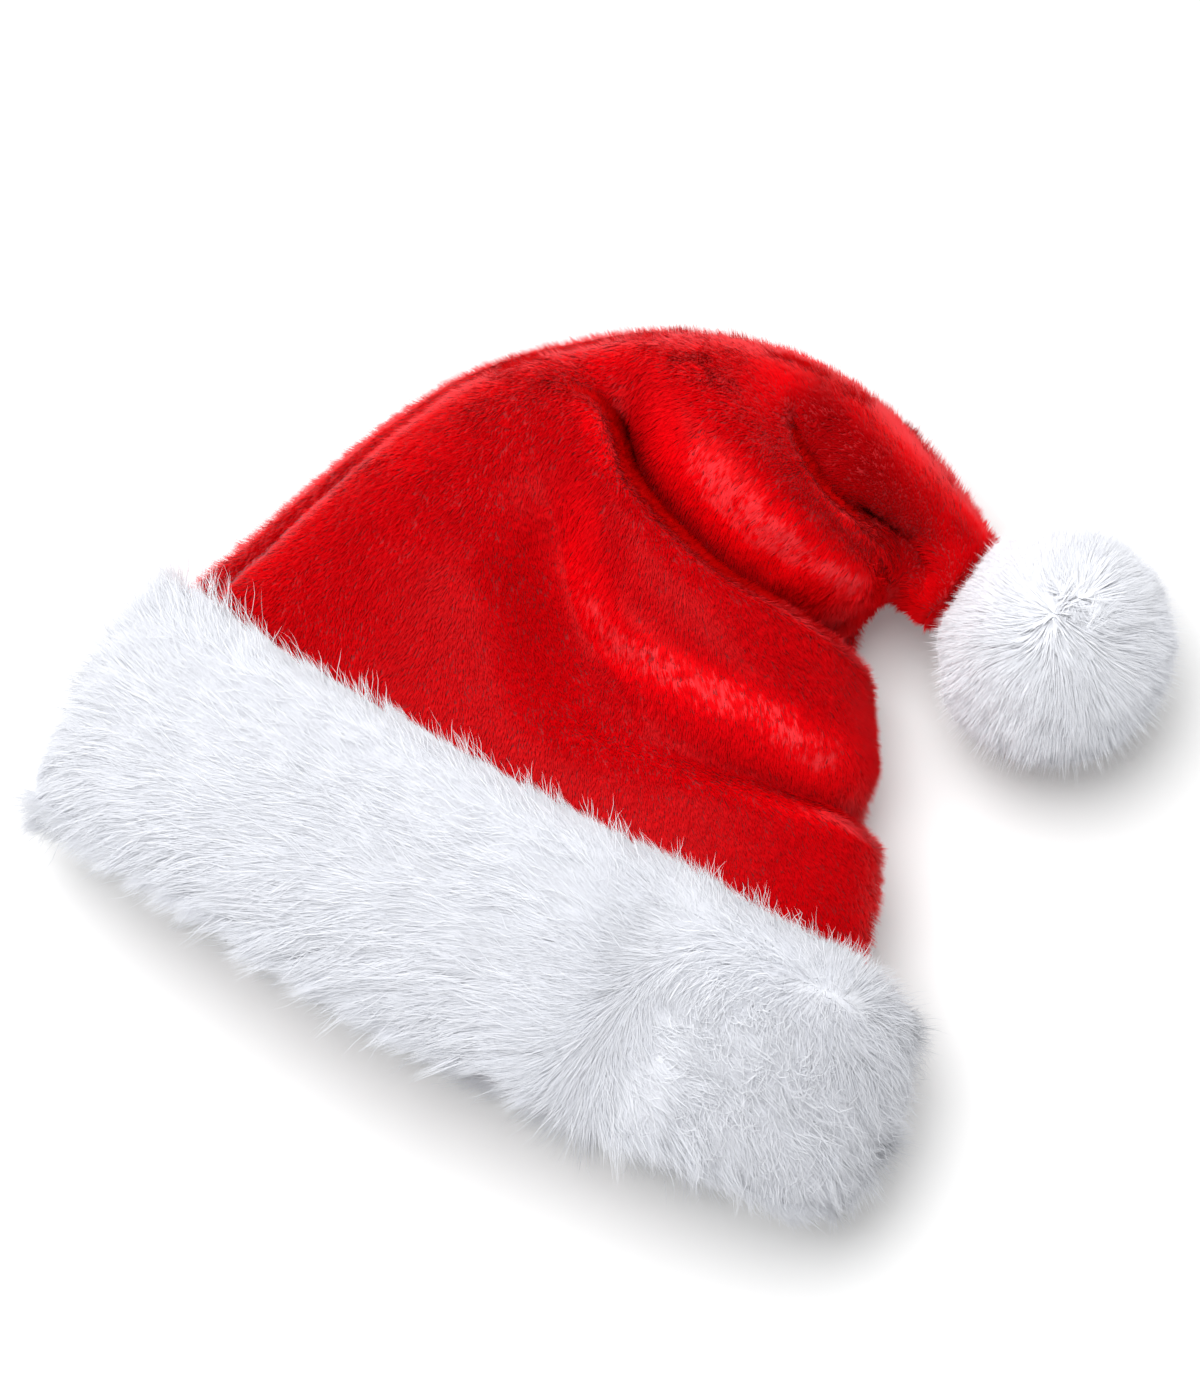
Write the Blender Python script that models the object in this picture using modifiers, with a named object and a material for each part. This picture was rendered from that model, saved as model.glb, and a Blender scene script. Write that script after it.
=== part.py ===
"""A plush Santa hat that lies on its rear panel with its mouth open, as one finds it on a table.

Metres, +Z up, the surface that it lies on at z = 0. The mouth faces -Y, the two side seams run up at -X and +X,
and the tip is folded over towards +X, where a fur ball is sewn to it. The origin is under the middle of the hat.
"""

from collections import namedtuple
import math

import bmesh
import bpy
from mathutils import Matrix, Vector
import numpy as np

# The crown
SEAM_HALF_WIDTH = 0.1290  # middle to side seam, at the cuff's upper edge
CROWN_REACH = 0.1755  # from the cuff's upper edge to the top of the arc, along Y
CROWN_LOFT = 0.0950  # height of its fullest part
COLLAR_HEIGHT = 0.0600  # of the hollow at the cuff's upper edge
COLLAR_SEAM = 0.48  # height of the side seams inside the cuff, as a share of the hollow's own
CLOTH = 0.0025  # plush backing and the root of its pile
SEAM_GAP = 0.0005  # between the two panels along a side seam
SEAM_LEFT = math.radians(151)  # round a section, from its right edge over the top
SEAM_RIGHT = math.radians(-8)
SIDE_POWER = 0.86  # of a section's width. An ellipse has 1, and less makes it boxier.
UPPER_POWER = 0.92  # of its upper side's height
LOWER_POWER = 0.72  # of its lower side's height

# The mouth, where the head goes in
MOUTH_HALF_WIDTH = 0.1310
MOUTH_HEIGHT = 0.0480
RIM_SETBACK = 0.0080  # from the cuff's lower edge in to the cloth's edge

# The fur cuff, without its locks
CUFF_HEIGHT = 0.0810  # lower edge to upper edge, along Y
CUFF_SIDE = 0.0170  # padding beside the seams
CUFF_TOP = 0.0130  # padding over the upper side
CUFF_UNDER = 0.0190  # padding on the lower side, before the hat's weight presses it flat
CUFF_PRESSED = 0.0150  # what is left of it between the cloth and the surface that the hat lies on
CUFF_SWAY = 0.0070  # how far the padding sits over towards +X
CUFF_BOW = 0.0090  # how far the middle of its lower edge hangs out towards -Y
CUFF_EDGE_BOW = 0.0015  # the same at its upper edge
BOW_FADE = 2  # sections above the cuff over which the bow runs out
CUFF_LOCK = 0.0090  # length of a fur lock
CUFF_CLEARANCE = 0.0006  # between the cuff and the cloth inside it

# The tip and the pompom
TIP_RADIUS = 0.0165  # of the hollow, where the tip is gathered
TIP_HEADING = math.radians(-10)  # from +X, seen from above
POMPOM_RADIUS = 0.0420  # to the ends of its fur
POMPOM_LOCK = 0.0100  # length of a fur lock
POMPOM_PRESSED = 0.0018  # how far its lowest fur is pressed up by the surface
POMPOM_HEIGHT = POMPOM_RADIUS - POMPOM_PRESSED
GATHER = 4  # sections over which the crown turns round towards the tip
SEAT_DEPTH = 0.0010  # how deep the gathered tip presses into the pompom's head
SEAT_CLEARANCE = 0.0003

# Fur locks
CUFF_LOCK_TIP = 0.35  # size of a lock's end, as a share of its root
POMPOM_LOCK_TIP = 0.30
CUFF_LEAN_SIDE = 0.6  # how much the cuff's fur leans sideways, at its ends
CUFF_LEAN_DOWN = 0.9  # how much it leans down to the mouth
CUFF_LIE = 0.35  # how much more it leans towards +X than towards -X
SHORTEST_LOCK = 0.75  # as a share of the longest
TIP_SPREAD = math.radians(42)  # half of the cone round the gathered tip that locks leave free
LYING_NORMAL = -0.35  # faces that look further down than this lie on the surface and bear no locks
CUFF_LOCK_FLOOR = 0.0004  # the ends of the cuff's lowest locks stay this far above the surface

# Columns and rows of the meshes
FRONT_COLUMNS = 25
REAR_COLUMNS = 17
COLUMN_SPREAD = 0.045
ROWS_PER_SECTION = 2.5
POMPOM_DETAIL = 3
SEED = 24
DIFFERENCE = 1e-3  # of a station or a turn, where a slope is measured

# Each row is a line across the crown as it lies, from its left edge to its right edge. The x columns are shares of
# SEAM_HALF_WIDTH, the y columns of CROWN_REACH, top and bottom of CROWN_LOFT, and seam of the section's own height.
Section = namedtuple("Section", "left_x left_y right_x right_y top bottom seam")
SECTIONS = (
    Section(-0.940, 0.155, 0.945, 0.150, 0.870, 0.040, 0.44),
    Section(-0.868, 0.310, 0.850, 0.285, 0.950, -0.040, 0.42),
    Section(-0.787, 0.465, 0.745, 0.410, 0.990, -0.065, 0.40),
    Section(-0.690, 0.610, 0.662, 0.510, 1.000, -0.070, 0.40),
    Section(-0.575, 0.720, 0.614, 0.580, 1.000, -0.070, 0.40),
    Section(-0.430, 0.820, 0.592, 0.622, 0.985, -0.060, 0.40),
    Section(-0.240, 0.918, 0.586, 0.656, 0.950, -0.035, 0.41),
    Section(-0.010, 0.982, 0.600, 0.684, 0.900, 0.020, 0.42),
    Section(0.230, 1.000, 0.634, 0.695, 0.835, 0.060, 0.43),
    Section(0.460, 0.972, 0.676, 0.690, 0.740, 0.130, 0.45),
    Section(0.640, 0.922, 0.716, 0.680, 0.650, 0.200, 0.48),
)
TIP_X, TIP_Y = 0.768, 0.768  # the middle of the gathered end, as shares like the sections' own

# Each row is a fold pressed into the crown's upper side, through four points that are shares of SEAM_HALF_WIDTH and
# CROWN_REACH. Depth is a share of CROWN_LOFT, and a ridge has a negative one. The widths are shares of
# SEAM_HALF_WIDTH, low towards the cuff and high towards the tip, and fade is the share of its length that runs out.
Fold = namedtuple("Fold", "start near far end depth low high fade")
FOLDS = (
    Fold((0.70, 0.500), (0.26, 0.530), (-0.12, 0.630), (-0.50, 0.700), 0.185, 0.180, 0.130, 0.45),
    Fold((0.96, 0.225), (0.44, 0.175), (-0.02, 0.135), (-0.50, 0.090), 0.120, 0.140, 0.130, 0.70),
    Fold((0.72, 0.735), (0.54, 0.775), (0.40, 0.825), (0.27, 0.920), 0.055, 0.120, 0.150, 0.40),
    Fold((0.76, 0.310), (0.30, 0.280), (-0.14, 0.380), (-0.56, 0.600), 0.060, 0.160, 0.130, 0.45),
    Fold((0.60, 0.620), (0.30, 0.660), (0.02, 0.760), (-0.20, 0.830), -0.060, 0.110, 0.160, 0.50),
    Fold((0.78, 0.400), (0.40, 0.390), (0.00, 0.480), (-0.40, 0.600), -0.050, 0.120, 0.140, 0.50),
)
FOLD_SAMPLES = 25
FOLD_LOW, FOLD_HIGH = -0.35, 0.25  # the sines of the turns between which a fold reaches its full depth
FOLD_ABOVE_CUFF = 0.8  # sections above the cuff over which folds deepen
FOLD_BELOW_TIP = 1.5  # sections below the gathered tip over which they run out

# Each row is a ring round the gathered end: its radius and how far it lies beyond the last section, both as shares
# of TIP_RADIUS. The last ring leaves the hole through which the pompom is tied.
CapRing = namedtuple("CapRing", "radius advance")
CAP_RINGS = (CapRing(0.78, 0.40), CapRing(0.30, 0.40))

# Each row is a point of the cuff's section: how far it lies from the lower edge to the upper edge, as a share of
# CUFF_HEIGHT, and how much of the padding is there.
CuffPoint = namedtuple("CuffPoint", "along padding lock")
CUFF_SECTION = (
    CuffPoint(0.030, 0.30, 0.5),
    CuffPoint(0.000, 0.66, 0.9),
    CuffPoint(0.080, 1.00, 1.0),
    CuffPoint(0.240, 1.14, 1.0),
    CuffPoint(0.420, 1.14, 1.0),
    CuffPoint(0.600, 1.08, 1.0),
    CuffPoint(0.780, 0.98, 1.0),
    CuffPoint(0.930, 0.78, 0.7),
    CuffPoint(1.000, 0.36, 0.0),
)
CUFF_SEAM = math.radians(63)  # where the fur strip's ends meet, round the section
CUFF_SEAM_DEPTH = 0.30  # as a share of the padding
CUFF_SEAM_SPREAD = math.radians(7)

# The stations along the crown: the rim, the middle of the collar, the cuff's upper edge, the sections and the tip
COLLAR = 2
TIP = COLLAR + len(SECTIONS) + 1

# Finishes
FRONT_RED = (0.60, 0.004, 0.008)
REAR_RED = (0.50, 0.003, 0.006)
CUFF_WHITE = (0.88, 0.89, 0.92)
POMPOM_WHITE = (0.90, 0.91, 0.94)
FRONT_ROUGHNESS, REAR_ROUGHNESS, FUR_ROUGHNESS = 0.75, 0.80, 0.90


def smooth_rows(rows, place):
    """Reads a table of rows at fractional places, along a smooth curve through them (Catmull-Rom)."""
    rows = np.asarray(rows, float)
    last = len(rows) - 1
    place = np.clip(np.asarray(place, float), 0, last)
    low = np.minimum(place.astype(int), last - 1)
    t = (place - low)[..., None]
    before, here = rows[np.maximum(low - 1, 0)], rows[low]
    there, after = rows[low + 1], rows[np.minimum(low + 2, last)]
    bend = 2 * before - 5 * here + 4 * there - after
    twist = 3 * (here - there) + after - before
    return here + 0.5 * t * (there - before + t * (bend + t * twist))


def smoothstep(value):
    """0 below 0, 1 above 1 and a smooth rise between them."""
    value = np.clip(value, 0, 1)
    return value * value * (3 - 2 * value)


def tip_side():
    """The level direction across the tip, from its right edge to its left edge."""
    return np.array((-math.sin(TIP_HEADING), math.cos(TIP_HEADING)))


def tip_middle():
    """The middle of the hollow where the tip is gathered, as high as the pompom that rests beyond it."""
    return np.array((TIP_X * SEAM_HALF_WIDTH, TIP_Y * CROWN_REACH, POMPOM_HEIGHT))


def stations():
    """Rows of left x and y, right x and y, top, bottom and seam height, from the rim to the tip, in metres."""
    floor = CUFF_PRESSED + CLOTH + CUFF_CLEARANCE
    depth = CUFF_HEIGHT - RIM_SETBACK
    rows = []
    for share in (1.0, 0.5, 0.0):
        half = SEAM_HALF_WIDTH + (MOUTH_HALF_WIDTH - SEAM_HALF_WIDTH) * share
        height = COLLAR_HEIGHT + (MOUTH_HEIGHT - COLLAR_HEIGHT) * share
        seam = floor + height * COLLAR_SEAM
        rows.append((-half, -depth * share, half, -depth * share, floor + height, floor, seam))
    for row in SECTIONS:
        top, bottom = row.top * CROWN_LOFT, row.bottom * CROWN_LOFT
        rows.append(
            (
                row.left_x * SEAM_HALF_WIDTH,
                row.left_y * CROWN_REACH,
                row.right_x * SEAM_HALF_WIDTH,
                row.right_y * CROWN_REACH,
                top,
                bottom,
                bottom + (top - bottom) * row.seam,
            )
        )
    middle, side = tip_middle(), tip_side() * TIP_RADIUS
    left, right, height = middle[:2] + side, middle[:2] - side, middle[2]
    rows.append((*left, *right, height + TIP_RADIUS, height - TIP_RADIUS, height))
    return np.array(rows)


def plain_crown(station, turn):
    """The hollow of the crown without its folds: the point at a turn round the section at a station."""
    lx, ly, rx, ry, top, bottom, seam = np.moveaxis(smooth_rows(stations(), station), -1, 0)
    gather = smoothstep((station - TIP + GATHER) / GATHER)
    cos, sin = np.cos(turn), np.sin(turn)
    side, upper, lower = (power + (1 - power) * gather for power in (SIDE_POWER, UPPER_POWER, LOWER_POWER))
    across = np.sign(cos) * np.abs(cos) ** side
    rise = np.abs(sin) ** np.where(sin > 0, upper, lower)
    x = (lx + rx) / 2 + (rx - lx) / 2 * across
    y = (ly + ry) / 2 + (ry - ly) / 2 * across
    bow = CUFF_EDGE_BOW + (CUFF_BOW - CUFF_EDGE_BOW) * np.clip((COLLAR - station) / COLLAR, 0, 1)
    y = y - bow * smoothstep(1 - np.abs(across)) * smoothstep((COLLAR + BOW_FADE - station) / BOW_FADE)
    z = seam + np.where(sin > 0, (top - seam) * rise, (bottom - seam) * rise)
    return np.stack((x, y, z), -1)


def outward(shape, station, turn):
    """Unit normals, pointing out of the hollow, of a surface given as a function of station and turn."""
    along = shape(station + DIFFERENCE, turn) - shape(np.maximum(station - DIFFERENCE, 0), turn)
    around = shape(station, turn + DIFFERENCE) - shape(station, turn - DIFFERENCE)
    normal = np.cross(around, along)
    return -normal / np.linalg.norm(normal, axis=-1, keepdims=True)


def fold_depth(fold, x, y):
    """How deep one fold is at each plan point, in metres."""
    waypoints = np.array((fold.start, fold.near, fold.far, fold.end)) * (SEAM_HALF_WIDTH, CROWN_REACH)
    line = smooth_rows(waypoints, np.linspace(0, 3, FOLD_SAMPLES))
    heading = np.gradient(line, axis=0)
    heading /= np.linalg.norm(heading, axis=1, keepdims=True)
    offset = np.stack((x, y), -1)[..., None, :] - line
    distance = np.linalg.norm(offset, axis=-1)
    nearest = distance.argmin(-1)
    offset = np.take_along_axis(offset, nearest[..., None, None], -2)[..., 0, :]
    heading = heading[nearest]
    distance = np.maximum(distance.min(-1), 1e-6)
    towards_tip = (offset[..., 0] * heading[..., 1] - offset[..., 1] * heading[..., 0]) / distance
    width = (fold.high + fold.low + (fold.high - fold.low) * towards_tip) / 2 * SEAM_HALF_WIDTH
    reach = np.clip(distance / width, 0, 1)
    run_out = smoothstep((1 - nearest / (FOLD_SAMPLES - 1)) / fold.fade)
    return fold.depth * CROWN_LOFT * (0.5 + 0.5 * np.cos(math.pi * reach)) * run_out


def crown(station, turn):
    """The hollow of the crown with its folds, flattened where it lies on the surface."""
    station, turn = np.broadcast_arrays(np.asarray(station, float), np.asarray(turn, float))
    point = plain_crown(station, turn)
    depth = sum(fold_depth(fold, point[..., 0], point[..., 1]) for fold in FOLDS)
    upper = smoothstep((np.sin(turn) - FOLD_LOW) / (FOLD_HIGH - FOLD_LOW))
    free = smoothstep((station - COLLAR) / FOLD_ABOVE_CUFF) * smoothstep((TIP - station) / FOLD_BELOW_TIP)
    point = point - outward(plain_crown, station, turn) * (depth * upper * free)[..., None]
    point[..., 2] = np.maximum(point[..., 2], CLOTH)
    return point


def cap_ring(ring, turn):
    """A ring that closes the tip in front of the pompom."""
    ahead = np.array((math.cos(TIP_HEADING), math.sin(TIP_HEADING), 0))
    side = np.array((*tip_side(), 0))
    round_it = -side * np.cos(turn)[..., None] + np.array((0, 0, 1)) * np.sin(turn)[..., None]
    return tip_middle() + TIP_RADIUS * (ahead * ring.advance + round_it * ring.radius)


def seam_turns(station, seam, side):
    """The turn of a panel's edge at each station, half of SEAM_GAP away from the seam."""
    seam = np.full(len(station), seam)
    way = crown(station, seam + DIFFERENCE) - crown(station, seam - DIFFERENCE)
    return seam + side * SEAM_GAP * DIFFERENCE / np.linalg.norm(way, axis=-1)


def panel_turns(start, end, columns):
    """Turns of a panel's columns, closer together where the flat section is widest."""
    share = np.linspace(0, 1, columns)
    share = share + COLUMN_SPREAD * np.sin(2 * math.pi * share)
    return start[:, None] + (end - start)[:, None] * share


def panel_mesh(name, first_seam, last_seam, columns):
    """An open panel from one seam to the other, from the rim to the hole in the tip. Its faces point outwards."""
    station = np.linspace(0, TIP, round(TIP * ROWS_PER_SECTION) + 1)
    turn = panel_turns(seam_turns(station, first_seam, 1), seam_turns(station, last_seam, -1), columns)
    rows = list(crown(station[:, None], turn))
    rows += [cap_ring(ring, turn[-1]) for ring in CAP_RINGS]
    return grid_mesh(name, np.array(rows))


def grid_mesh(name, points, closed=False):
    """A mesh of quads over rows and columns of points. A closed one joins its last row and column to its first."""
    rows, columns = points.shape[:2]
    index = np.arange(rows * columns).reshape(rows, columns)
    if closed:
        index = np.pad(index, ((0, 1), (0, 1)), mode="wrap")
    quads = np.stack((index[:-1, :-1], index[:-1, 1:], index[1:, 1:], index[1:, :-1]), -1).reshape(-1, 4)
    mesh = bpy.data.meshes.new(name)
    mesh.from_pydata(points.reshape(-1, 3).tolist(), [], quads.tolist())
    working = bmesh.new()
    working.from_mesh(mesh)
    if closed:
        bmesh.ops.recalc_face_normals(working, faces=working.faces)
    else:
        bmesh.ops.reverse_faces(working, faces=working.faces)
    working.to_mesh(mesh)
    working.free()
    return mesh


def make_panel(name, first_seam, last_seam, columns, collection, material):
    """One plush panel: an open surface with the thickness of the cloth put on its outer side."""
    panel = add_object(panel_mesh(name, first_seam, last_seam, columns), collection, material)
    wall = panel.modifiers.new("cloth", "SOLIDIFY")
    wall.thickness = CLOTH
    wall.offset = 1
    return panel


def cuff_turns():
    """Turns of the cuff's columns: the same as the panels' own at the collar, so that the walls run parallel."""
    front = panel_turns(np.array([SEAM_RIGHT]), np.array([SEAM_LEFT]), FRONT_COLUMNS)[0]
    rear = panel_turns(np.array([SEAM_LEFT]), np.array([SEAM_RIGHT + 2 * math.pi]), REAR_COLUMNS)[0]
    return np.concatenate((front, rear[1:-1]))


def collar(station, turn, lift):
    """The cloth's surface inside the cuff, lifted outwards, and straight on from it past the rim."""
    inside = np.clip(np.full(len(turn), float(station)), 0, COLLAR)
    point = crown(inside, turn)
    point[:, 1] += (station - inside) * (CUFF_HEIGHT - RIM_SETBACK) / COLLAR
    return point + outward(crown, inside, turn) * lift[:, None]


def cuff_padding(turn):
    """How thick the padding is at each turn, thinner in the groove where the fur strip's ends meet."""
    side = np.cos(turn) ** 2
    thickness = CUFF_SIDE * side + np.where(np.sin(turn) > 0, CUFF_TOP, CUFF_UNDER) * (1 - side)
    groove = np.exp(-(((turn - CUFF_SEAM) / CUFF_SEAM_SPREAD) ** 2))
    return thickness * (1 - CUFF_SEAM_DEPTH * groove)


def cuff_rings(turn):
    """The cuff's rings of points, from its inner upper edge down to the rim and up the outside."""
    clear = np.full(len(turn), CLOTH + CUFF_CLEARANCE)
    inner = np.linspace(COLLAR, 0, round(COLLAR * ROWS_PER_SECTION) + 1)
    rings = [collar(station, turn, clear) for station in inner]
    for row in CUFF_SECTION:
        station = COLLAR * (1 - (1 - row.along) * CUFF_HEIGHT / (CUFF_HEIGHT - RIM_SETBACK))
        point = collar(station, turn, clear + cuff_padding(turn) * row.padding)
        point[:, 0] += CUFF_SWAY * row.padding
        rings.append(point)
    rings = np.array(rings)
    rings[..., 2] = np.maximum(rings[..., 2], 0)
    return rings


def grow_locks(mesh, length, tip_size, lowest, share, lean):
    """Draws faces out into tapered locks of fur. Share gives a face's lock length, lean the way it leans."""
    rng = np.random.default_rng(SEED)
    working = bmesh.new()
    working.from_mesh(mesh)
    working.normal_update()
    chosen = [face for face in working.faces if share(face) > 0]
    reaches = [length * share(face) * rng.uniform(SHORTEST_LOCK, 1) for face in chosen]
    grown = bmesh.ops.extrude_discrete_faces(working, faces=chosen)["faces"]
    for face, reach in zip(grown, reaches):
        middle = face.calc_center_median()
        shift = (face.normal + lean(middle)).normalized() * reach
        for vertex in face.verts:
            vertex.co = middle + (vertex.co - middle) * tip_size + shift
            vertex.co.z = max(vertex.co.z, lowest)
    working.to_mesh(mesh)
    working.free()


def make_cuff(collection, material):
    """The fur cuff: a padded ring round the collar, with its locks leaning down to the mouth."""
    turn = cuff_turns()
    rings = cuff_rings(turn)
    mesh = grid_mesh("fur_cuff", rings, closed=True)
    locks = np.zeros(len(rings))
    locks[-len(CUFF_SECTION):] = [row.lock for row in CUFF_SECTION]

    def share(face):
        ring = face.index // len(turn)
        length = min(locks[ring], locks[(ring + 1) % len(rings)])
        return length if face.normal.z > LYING_NORMAL else 0

    def lean(middle):
        sideways = middle.x / MOUTH_HALF_WIDTH + CUFF_LIE
        return Vector((sideways * CUFF_LEAN_SIDE, -CUFF_LEAN_DOWN, 0))

    grow_locks(mesh, CUFF_LOCK, CUFF_LOCK_TIP, CUFF_LOCK_FLOOR, share, lean)
    return add_object(mesh, collection, material)


def make_pompom(collection, material):
    """The fur ball: a head with locks all round, pressed flat where the tip is sewn to it and where it rests."""
    ahead = Vector((math.cos(TIP_HEADING), math.sin(TIP_HEADING), 0))
    head = POMPOM_RADIUS - POMPOM_LOCK
    seat = head - SEAT_DEPTH
    reach = TIP_RADIUS * CAP_RINGS[-1].advance + CLOTH + SEAT_CLEARANCE + seat
    middle = Vector(tip_middle()) + ahead * reach
    mesh = bpy.data.meshes.new("pompom")
    working = bmesh.new()
    bmesh.ops.create_icosphere(working, subdivisions=POMPOM_DETAIL, radius=head)
    for vertex in working.verts:
        behind = max(-vertex.co.dot(ahead) - seat, 0)
        vertex.co = middle + vertex.co + ahead * behind
    working.to_mesh(mesh)
    working.free()

    def share(face):
        away = (face.calc_center_median() - middle).normalized()
        at_tip = -away.dot(ahead) > math.cos(TIP_SPREAD)
        return 0 if at_tip else 1

    def lean(_middle):
        return Vector((0, 0, 0))

    grow_locks(mesh, POMPOM_LOCK, POMPOM_LOCK_TIP, 0, share, lean)
    return add_object(mesh, collection, material)


def add_object(mesh, collection, material):
    """Puts a mesh into the hat's collection under its own name."""
    item = bpy.data.objects.new(mesh.name, mesh)
    item.data.materials.append(material)
    collection.objects.link(item)
    return item


def make_material(name, colour, roughness):
    """A plain cloth or fur finish."""
    material = bpy.data.materials.new(name)
    material.use_nodes = True
    shader = material.node_tree.nodes["Principled BSDF"]
    shader.inputs["Base Color"].default_value = (*colour, 1)
    shader.inputs["Roughness"].default_value = roughness
    shader.inputs["Metallic"].default_value = 0
    material.diffuse_color = (*colour, 1)
    return material


def centre(items):
    """Moves the finished pieces so that the origin lies under the middle of their common box."""
    bpy.context.view_layer.update()
    graph = bpy.context.evaluated_depsgraph_get()
    corners = np.array([item.evaluated_get(graph).bound_box for item in items]).reshape(-1, 3)
    low, high = corners.min(0), corners.max(0)
    move = Matrix.Translation((-(low[0] + high[0]) / 2, -(low[1] + high[1]) / 2, 0))
    for item in items:
        item.data.transform(move)


def main():
    """Builds the hat in an empty scene."""
    for item in list(bpy.data.objects):
        bpy.data.objects.remove(item)
    hat = bpy.data.collections.new("santa_hat")
    bpy.context.scene.collection.children.link(hat)
    front = make_material("red_plush_front", FRONT_RED, FRONT_ROUGHNESS)
    rear = make_material("red_plush_rear", REAR_RED, REAR_ROUGHNESS)
    cuff = make_material("white_cuff_fur", CUFF_WHITE, FUR_ROUGHNESS)
    ball = make_material("white_pompom_fur", POMPOM_WHITE, FUR_ROUGHNESS)
    centre(
        [
            make_panel("crown_front", SEAM_RIGHT, SEAM_LEFT, FRONT_COLUMNS, hat, front),
            make_panel("crown_rear", SEAM_LEFT, SEAM_RIGHT + 2 * math.pi, REAR_COLUMNS, hat, rear),
            make_cuff(hat, cuff),
            make_pompom(hat, ball),
        ]
    )


main()
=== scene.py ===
"""A plush Santa hat with a deep fur cuff and a fur pompom, lying on its back on a pale surface.

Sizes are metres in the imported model's frame: +X along the cuff, +Y from the mouth to the crown's top, +Z up.
The crown is a hollow worked out from a table of sections and a table of folds. Its plush pile, the cuff's fur
and the pompom's fur are blades that grow out of the cloth, of the padded cuff and of the pompom's head.
"""

from dataclasses import dataclass, replace
from enum import Enum
import logging
import math
from typing import Callable, Sequence

import bpy
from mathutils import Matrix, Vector
import numpy as np

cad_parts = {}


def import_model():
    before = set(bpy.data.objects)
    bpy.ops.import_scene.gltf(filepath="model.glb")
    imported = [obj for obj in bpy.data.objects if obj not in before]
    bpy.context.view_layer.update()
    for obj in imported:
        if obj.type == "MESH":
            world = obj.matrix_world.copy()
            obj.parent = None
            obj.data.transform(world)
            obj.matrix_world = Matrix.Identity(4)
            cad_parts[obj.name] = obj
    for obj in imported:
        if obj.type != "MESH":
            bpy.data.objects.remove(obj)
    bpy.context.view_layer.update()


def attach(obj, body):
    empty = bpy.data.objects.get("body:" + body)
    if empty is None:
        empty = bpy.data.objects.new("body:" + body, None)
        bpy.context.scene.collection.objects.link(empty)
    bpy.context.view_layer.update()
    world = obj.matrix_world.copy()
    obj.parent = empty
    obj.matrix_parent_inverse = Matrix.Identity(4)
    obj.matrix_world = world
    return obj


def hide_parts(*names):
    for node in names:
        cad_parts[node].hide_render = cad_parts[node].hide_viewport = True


Array = np.ndarray
Colour = tuple[float, float, float]
Value = float | bpy.types.NodeSocket

LOG = logging.getLogger("santa_hat")
BODY = "root"
BAKE_MAP = "OFBake"  # colours the blades: across it a blade's tone, up it from root to tip
DESIGN_ORIGIN = np.array((-0.01568, -0.04079, 0.0))  # the middle of the cuff's upper edge
PICTURE_UP = np.array((-0.477, 0.879, 0.0))  # along the surface, towards the picture's upper edge
MAP_MARGIN = 0.02  # of the bake map, left free round the blades
MAP_WIDTH = 0.004  # half the width of a blade on the bake map
TIP_FROM = 0.75  # of a blade's length, where it has its tip's colour
LIGHTEST_AND_SHEEN_FROM = 0.80  # the tone from which a blade's colour turns to its lightest colour, which on the red pile is a painted sheen
FLOOR = 0.0
TURN = 2 * math.pi


class Layer(Enum):
    """Which side of the cloth a grid of points follows."""

    SKIN = "the outer side, under the pile"
    LINING = "the inner side, which faces the head"


def unit(vectors: Array) -> Array:
    """Vectors divided by their own length."""
    return vectors / np.maximum(np.linalg.norm(vectors, axis=-1, keepdims=True), 1e-12)


def across(vectors: Array, normals: Array) -> Array:
    """What is left of vectors once their part along the normals is taken away."""
    return vectors - normals * (vectors * normals).sum(-1, keepdims=True)


def smoothstep(value: Array) -> Array:
    """0 below 0, 1 above 1 and a smooth rise between them: three squares less two cubes."""
    value = np.clip(value, 0, 1)
    return value * value * (3 - 2 * value)


def ramp(value: Array, start: float, end: float) -> Array:
    """0 on the near side of start, 1 beyond end and a smooth rise between them. End may be the lower one."""
    return smoothstep((value - start) / (end - start))


def blend(low: float, high: float, share: Array) -> Array:
    """The value at a share of the way from low to high."""
    return low + (high - low) * share


def cell_corners(index: Array) -> Array:
    """The four corners of each cell between the rows and columns of a table of indices."""
    return np.stack((index[:-1, :-1], index[1:, :-1], index[1:, 1:], index[:-1, 1:]), -1)


def smooth_rows(rows: Array, place: Array) -> Array:
    """Reads a table of rows at fractional places, along a Catmull-Rom curve through them.

    Args:
        rows: The table, one row for each whole place.
        place: Where to read it.

    Returns:
        The interpolated rows, with the shape of place and then that of one row.
    """
    rows = np.asarray(rows, float)
    last = len(rows) - 1
    place = np.clip(np.asarray(place, float), 0, last)
    low = np.minimum(place.astype(int), last - 1)
    t = (place - low)[(...,) + (None,) * (rows.ndim - 1)]
    before, here = rows[np.maximum(low - 1, 0)], rows[low]
    there, after = rows[low + 1], rows[np.minimum(low + 2, last)]
    bend = 2 * before - 5 * here + 4 * there - after
    twist = 3 * (here - there) + after - before
    return here + 0.5 * t * (there - before + t * (bend + t * twist))


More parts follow.
